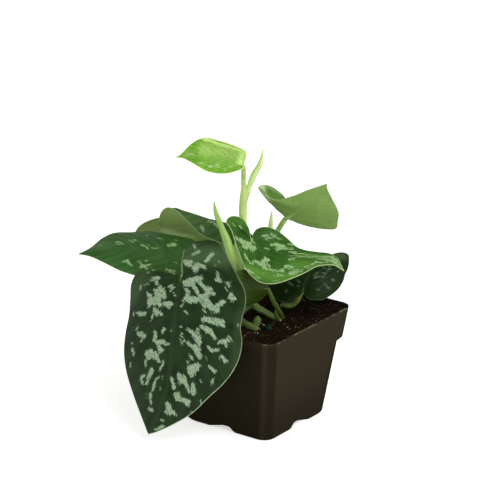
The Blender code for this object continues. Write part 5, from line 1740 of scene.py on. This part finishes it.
@dataclass
class Soil:
    """Potting mix: a filled body with a crumbled surface, loose crumbs, fibres and perlite."""

    pot: Pot
    top: float = 73.0
    relief: float = 0.7
    gap: float = 0.3
    rings: int = 120
    crumbs: int = 1500
    fibres: int = 170
    flecks: int = 5
    strand_limit: float = 46.0
    heap_at: tuple[float, float] = (37.0, 43.0)
    heap_height: float = 3.4
    chips: Guides = (
        (-0.2, -34.9, 0.75), (1.9, -35.9, 0.85), (22.7, -23.6, 0.7), (24.0, -26.2, 0.4),
        (30.6, -24.6, 0.5), (5.1, -17.6, 0.8), (6.3, -19.4, 0.9),
    )

    def height_at(self, x: Array, y: Array) -> Array:
        """The surface: two swells across each other, crumbs in three sizes, and one low heap."""
        swell = np.sin(x * 0.13 + 0.6) * np.cos(y * 0.11) + 0.6 * np.sin(x * 0.05 - y * 0.21)
        flat = np.stack([x, y, 0 * x], axis=-1)
        lumps = layered_noise(flat, 6.5, 31, 2) * 0.55
        crumb = 1.0 - np.abs(lattice_noise(flat, 2.2, 41))
        grit = lattice_noise(flat, 0.95, 43)
        away = (x - self.heap_at[0]) ** 2 + (y - self.heap_at[1]) ** 2
        heap = self.heap_height * np.exp(-away / 40.0)
        return self.top + self.relief * swell / 1.6 + lumps + 0.5 * (crumb - 0.6) + 0.16 * grit + heap

    def ground(self) -> bpy.types.Material:
        """Dark crumbled peat: two browns, paler dry grains, and a strong fine bump."""
        recipe = Recipe("soil_peat")
        place = recipe.place()
        clouds = recipe.noise(place, 90.0, 4.0)
        grit = recipe.noise(place, 900.0, 4.0, 0.65)
        grains = recipe.cells(place, 620.0)
        ground = recipe.mix(clouds.ease(0.3, 0.7), (20, 15, 9), (38, 29, 19))
        ground = recipe.mix(grit.ease(0.46, 0.7) * 0.55, ground, (66, 54, 40))
        ground = recipe.mix(grains.ease(0.25, 0.05) * 0.35, ground, (14, 10, 6))
        dry = recipe.noise(place, 1500.0, 2.0).ease(0.7, 0.76)
        ground = recipe.mix(dry * 0.25, ground, (96, 80, 60))
        return recipe.finish(
            Base_Color=ground,
            Roughness=0.9 + (clouds - 0.5) * 0.1,
            Normal=recipe.bump(grit + grains * 0.8, 0.6, 0.9),
            Specular_IOR_Level=0.0,
        )

    def crumb_finish(self) -> bpy.types.Material:
        """Loose bits whose carried tone runs from wet peat over bark to dry husk."""
        recipe = Recipe("soil_crumb")
        place = recipe.place()
        tone = recipe.number("tone")
        grit = recipe.noise(place, 1400.0, 3.0)
        ground = recipe.mix(tone.ease(0.0, 0.7), (24, 17, 11), (46, 34, 24))
        ground = recipe.mix(tone.ease(0.8, 1.0), ground, (104, 90, 68))
        ground = recipe.mix(grit.ease(0.45, 0.7) * 0.5, ground, (14, 9, 6))
        return recipe.finish(
            Base_Color=ground,
            Roughness=0.86 + grit * 0.1,
            Normal=recipe.bump(grit, 0.25, 0.8),
            Specular_IOR_Level=0.05,
        )

    def perlite(self) -> bpy.types.Material:
        """Pale puffed grains with pits."""
        recipe = Recipe("soil_perlite")
        place = recipe.place()
        pits = recipe.cells(place, 1500.0)
        stain = recipe.noise(place, 500.0, 3.0)
        ground = recipe.mix(stain.ease(0.4, 0.7), (196, 188, 170), (128, 112, 92))
        ground = recipe.mix(pits.ease(0.3, 0.0) * 0.4, ground, (90, 78, 62))
        return recipe.finish(
            Base_Color=ground, Roughness=0.8 + stain * 0.1, Normal=recipe.bump(pits, 0.3, 0.8)
        )

    def build(self) -> list[bpy.types.Object]:
        """Builds the body and what lies on it."""
        return [self.body(), self.loose(), self.strands(), self.grains()]

    def body(self) -> bpy.types.Object:
        """The filled body, one closed sheet from under its foot up its side and in over its top."""
        inset = self.pot.wall + self.gap
        seats = ((self.pot.floor + self.gap, self.pot.floor), (self.pot.step_low, self.pot.step_low))
        rows = []
        base = self.pot.ring(seats[0][0], inset, seats[0][1])
        for share in (0.0, 0.5, 0.95):
            rows.append(base * [share, share, 1.0])
        for z, seat in (*seats, (self.pot.step_high + self.gap, self.pot.step_high), (65.0, 65.0)):
            rows.append(self.pot.ring(z, inset, seat))
        edge = self.pot.ring(0.0, inset, self.top)
        for ring in range(self.rings + 1):
            share = 1.0 - ring / self.rings
            x, y = edge[:, 0] * share, edge[:, 1] * share
            dip = 0.5 * smooth_step(0.94, 1.0, np.array(share))
            rows.append(np.stack([x, y, self.height_at(x, y) - dip], -1))
        grid = Grid(np.stack(rows), {}, wrap=True)
        made = Skin.from_grids([grid]).make("dressed_soil", [self.ground()], "soil")
        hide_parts("soil")
        return made

    def spots(self, random: np.random.Generator, count: int, margin: float) -> Array:
        """Random points on the surface, at least the margin away from the wall."""
        half = self.pot.half_base + (self.pot.half_top - self.pot.half_base) * self.top / self.pot.height
        half = half - self.pot.wall - self.gap - margin
        corner = self.pot.corner_top - margin
        flat = random.uniform(-half, half, (count * 2, 2))
        over = np.maximum(np.abs(flat) - (half - corner), 0.0)
        flat = flat[np.linalg.norm(over, axis=1) < corner][:count]
        z = self.height_at(flat[:, 0], flat[:, 1])
        return np.concatenate([flat, z[:, None]], axis=1)

    @staticmethod
    def pebble() -> tuple[Array, Array]:
        """The points and triangles of a regular solid with twenty faces."""
        g = (1.0 + math.sqrt(5.0)) / 2.0
        points = np.array(
            [[-1, g, 0], [1, g, 0], [-1, -g, 0], [1, -g, 0], [0, -1, g], [0, 1, g]]
            + [[0, -1, -g], [0, 1, -g], [g, 0, -1], [g, 0, 1], [-g, 0, -1], [-g, 0, 1]],
            float,
        )
        faces = np.array(
            [[0, 11, 5], [0, 5, 1], [0, 1, 7], [0, 7, 10], [0, 10, 11], [1, 5, 9], [5, 11, 4]]
            + [[11, 10, 2], [10, 7, 6], [7, 1, 8], [3, 9, 4], [3, 4, 2], [3, 2, 6], [3, 6, 8]]
            + [[3, 8, 9], [4, 9, 5], [2, 4, 11], [6, 2, 10], [8, 6, 7], [9, 8, 1]]
        )
        return unit(points), faces

    def pebbles(
        self, at: Array, size: Array, seed: int, squeeze: float, ragged: float
    ) -> tuple[Array, Array]:
        """Many pebbles at once, each stretched, turned and knocked out of shape at random.

        Each is R (s * p * (1 + k n)) + c: a random turn R of the solid's points p, stretched by
        s, with a random push n on each point, at its own centre c.

        Args:
            at: their centres.
            size: their radii.
            seed: picks one set of draws.
            squeeze: the least stretch along an axis, where 1 leaves it round.
            ragged: k, how far a point is pushed in or out, as a share of the radius.

        Returns:
            All their points, and their triangles as indices into them.
        """
        random = np.random.default_rng(seed)
        shape, faces = self.pebble()
        count = len(at)
        stretch = size[:, None] * random.uniform(squeeze, 1.0, (count, 3))
        turns = np.linalg.qr(random.normal(size=(count, 3, 3)))[0]
        turns = turns * np.sign(np.linalg.det(turns))[:, None, None]
        push = 1.0 + ragged * random.uniform(-1.0, 1.0, (count, len(shape), 1))
        points = shape[None] * push * stretch[:, None]
        points = np.einsum("nij,npj->npi", turns, points) + at[:, None]
        index = faces[None] + (np.arange(count) * len(shape))[:, None, None]
        return points.reshape(-1, 3), index.reshape(-1, 3)

    def loose(self) -> bpy.types.Object:
        """Crumbs of peat and bark that lie half in the surface."""
        random = np.random.default_rng(11)
        at = self.spots(random, self.crumbs, 1.6)
        size = 0.35 + 0.9 * random.random(len(at)) ** 3
        at[:, 2] += size * 0.25
        points, faces = self.pebbles(at, size, 12, 0.45, 0.22)
        tone = np.repeat(random.random(len(at)), len(points) // len(at))
        return Skin(points, faces, {"tone": tone}).make("soil_crumbs", [self.crumb_finish()], "soil")

    def grains(self) -> bpy.types.Object:
        """Pale perlite grains: those by the cut stem, placed, and a few scattered."""
        random = np.random.default_rng(21)
        at = self.spots(random, self.flecks, 3.0)
        size = 0.4 + 0.4 * random.random(len(at))
        chips = np.asarray(self.chips, float)
        placed = turned(chips * [1.0, 1.0, 0.0])
        placed[:, 2] = self.height_at(placed[:, 0], placed[:, 1])
        at = np.concatenate([at, placed])
        size = np.concatenate([size, chips[:, 2]])
        at[:, 2] += 0.2
        points, faces = self.pebbles(at, size, 22, 0.6, 0.15)
        return Skin(points, faces, {}).make("soil_perlite", [self.perlite()], "soil")

    def strands(self) -> bpy.types.Object:
        """Fine root fibres and husk threads that lie on the surface.

        Each is a line p + t d + 4 b t (1 - t), laid on the surface, with a three-sided section.
        """
        random = np.random.default_rng(17)
        at = self.spots(random, self.fibres, 5.0)
        count, steps, sides = len(at), 7, 3
        angle = random.uniform(0.0, 2.0 * math.pi, count)
        length = random.uniform(2.0, 7.5, count)
        t = np.linspace(-0.5, 0.5, steps)[None]
        bend = random.uniform(-0.9, 0.9, count)[:, None] * (1.0 - 4.0 * t * t)
        c, s = np.cos(angle)[:, None], np.sin(angle)[:, None]
        x = at[:, :1] + c * t * length[:, None] - s * bend
        y = at[:, 1:2] + s * t * length[:, None] + c * bend
        x = np.clip(x, -self.strand_limit, self.strand_limit)
        y = np.clip(y, -self.strand_limit, self.strand_limit)
        rise = random.uniform(0.0, 0.9, count)[:, None] * (1.0 - 4.0 * t * t)
        z = self.height_at(x, y) + 0.12 + rise
        middle = np.stack([x, y, z], -1)
        heading = unit(np.gradient(middle, axis=1))
        side = unit(np.cross(heading, [0.0, 0.0, 1.0]))
        up = np.cross(side, heading)
        radius = random.uniform(0.14, 0.36, count)[:, None] * (1.0 - 0.6 * np.abs(2 * t) ** 2)
        turn = np.arange(sides) / sides * 2.0 * math.pi
        ring = side[:, :, None] * np.cos(turn)[:, None] + up[:, :, None] * np.sin(turn)[:, None]
        points = middle[:, :, None] + ring * radius[:, :, None, None]
        tones = np.broadcast_to(random.uniform(0.55, 1.05, count)[:, None, None], points.shape[:3])
        grids = [capped(Grid(p, {"tone": tone}, wrap=True)) for p, tone in zip(points, tones)]
        return Skin.from_grids(grids).make("soil_fibres", [self.crumb_finish()], "soil")


@dataclass
class Pellet:
    """A coated fertiliser bead on the soil."""

    at: Sequence[float] = (9.5, -28.6, 74.5)
    radius: float = 2.3

    def build(self) -> bpy.types.Object:
        """A ball of latitudes and longitudes whose radius varies by a low noise."""
        rise = np.linspace(-math.pi / 2, math.pi / 2, 33)[:, None]
        turn = (np.arange(48) / 48 * 2.0 * math.pi)[None]
        flat = np.cos(rise)
        flat[0] = flat[-1] = 0.0
        out = np.stack([flat * np.cos(turn), flat * np.sin(turn), np.sin(rise) + 0 * turn], -1)
        size = self.radius * (0.985 + 0.03 * lattice_noise(out, 0.7, 3) * flat)
        points = turned(np.asarray(self.at) + out * size[..., None])
        recipe = Recipe("bead_coat")
        place = recipe.place()
        clouds = recipe.noise(place, 900.0, 3.0)
        dust = recipe.noise(place, 2600.0, 2.0).ease(0.6, 0.7)
        ground = recipe.mix(clouds.ease(0.3, 0.7), (10, 38, 26), (24, 66, 46))
        ground = recipe.mix(dust * 0.3, ground, (60, 76, 54))
        finish = recipe.finish(
            Base_Color=ground,
            Roughness=0.6 + dust * 0.3,
            Normal=recipe.bump(clouds + dust, 0.12, 0.6),
            Specular_IOR_Level=0.1,
        )
        made = Skin.from_grids([Grid(points, {}, wrap=True)]).make("dressed_pellet", [finish], "pellet")
        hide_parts("pellet")
        return made


# Stage


@dataclass(frozen=True)
class Studio:
    """Camera, floor and soft light."""

    azimuth: float = 36.33
    elevation: float = 19.73
    distance: float = 1.8
    lens: float = 186.3
    target: Sequence[float] = (-0.00408, 0.0, 0.1207)
    sky_light: float = 0.42
    floor_half: float = 3000.0

    @staticmethod
    def outwards(azimuth: float, elevation: float) -> Vector:
        """The direction away from the plant at two angles in degrees, round it and up."""
        a, e = math.radians(azimuth), math.radians(elevation)
        return Vector((math.sin(a) * math.cos(e), -math.cos(a) * math.cos(e), math.sin(e)))

    def camera(self) -> None:
        """A camera at the photograph's angle, with no shift."""
        back = self.outwards(self.azimuth, self.elevation)
        data = bpy.data.cameras.new("studio_camera")
        data.lens = self.lens
        data.sensor_width = 36.0
        data.clip_start, data.clip_end = 0.05, 20.0
        eye = bpy.data.objects.new("studio_camera", data)
        eye.location = Vector(self.target) + back * self.distance
        eye.rotation_mode = "QUATERNION"
        eye.rotation_quaternion = (-back).to_track_quat("-Z", "Y")
        bpy.context.scene.collection.objects.link(eye)
        bpy.context.scene.camera = eye

    def floor(self) -> None:
        """A wide pale floor with the faintest mottling."""
        recipe = Recipe("studio_floor")
        clouds = recipe.noise(recipe.place(), 3.0, 3.0)
        finish = recipe.finish(
            Base_Color=recipe.mix(clouds, (246, 246, 245), (250, 250, 250)),
            Roughness=0.85 + clouds * 0.1,
            Normal=recipe.bump(clouds, 0.2, 0.1),
            Emission_Color=(255, 255, 255),
            Emission_Strength=0.6,
        )
        mesh = bpy.data.meshes.new("studio_floor")
        half = self.floor_half * MM
        corners = [(-half, -half, 0.0), (half, -half, 0.0), (half, half, 0.0), (-half, half, 0.0)]
        mesh.from_pydata(corners, [], [(0, 1, 2, 3)])
        mesh.materials.append(finish)
        made = bpy.data.objects.new("studio_floor", mesh)
        bpy.context.scene.collection.objects.link(made)

    def lamp(self, name: str, turn: float, rise: float, away: float, size: float, watts: float) -> None:
        """A square soft light aimed at the plant.

        Args:
            name: the lamp's name.
            turn: its direction round the plant in degrees, 0 in front of the camera's own side.
            rise: its height above the horizon in degrees.
            away: its distance in metres.
            size: the side of its face in metres.
            watts: its power.
        """
        out = self.outwards(self.azimuth + turn, rise)
        data = bpy.data.lights.new(name, "AREA")
        data.size = size
        data.energy = watts
        made = bpy.data.objects.new(name, data)
        made.location = Vector((0.0, 0.0, 0.1)) + out * away
        made.rotation_mode = "QUATERNION"
        made.rotation_quaternion = (-out).to_track_quat("-Z", "Y")
        bpy.context.scene.collection.objects.link(made)

    def build(self) -> None:
        """Sets the camera, floor, sky and lamps."""
        self.camera()
        self.floor()
        world = bpy.data.worlds.new("studio_sky")
        world.use_nodes = True
        nodes, links = world.node_tree.nodes, world.node_tree.links
        sky = nodes["Background"]
        sky.inputs["Color"].default_value = (1.0, 1.0, 1.0, 1.0)
        seen = nodes.new("ShaderNodeLightPath")
        level = nodes.new("ShaderNodeMapRange")
        level.inputs["To Min"].default_value = self.sky_light
        level.inputs["To Max"].default_value = 1.0
        links.new(seen.outputs["Is Camera Ray"], level.inputs["Value"])
        links.new(level.outputs[0], sky.inputs["Strength"])
        bpy.context.scene.world = world
        self.lamp("key_lamp", 42.0, 48.0, 1.6, 1.1, 14.0)
        self.lamp("fill_lamp", -60.0, 35.0, 1.8, 1.2, 2.6)
        bpy.context.scene.view_settings.view_transform = "Standard"


def main() -> None:
    """Builds the plant, its pot and the studio, and reports each piece."""
    logging.basicConfig(level=logging.INFO, format="%(name)s: %(message)s")
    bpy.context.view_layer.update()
    Studio().build()
    pot = Pot()
    pieces = [pot.build(), *Soil(pot).build(), Pellet().build()]
    pieces += [blade.build() for blade in BLADES.values()]
    pieces += [stem.build() for stem in STEMS]
    for piece in pieces:
        mesh = piece.data
        log.info("%s: %d points, %d triangles", piece.name, len(mesh.vertices), len(mesh.polygons))


if __name__ == "__main__":
    main()
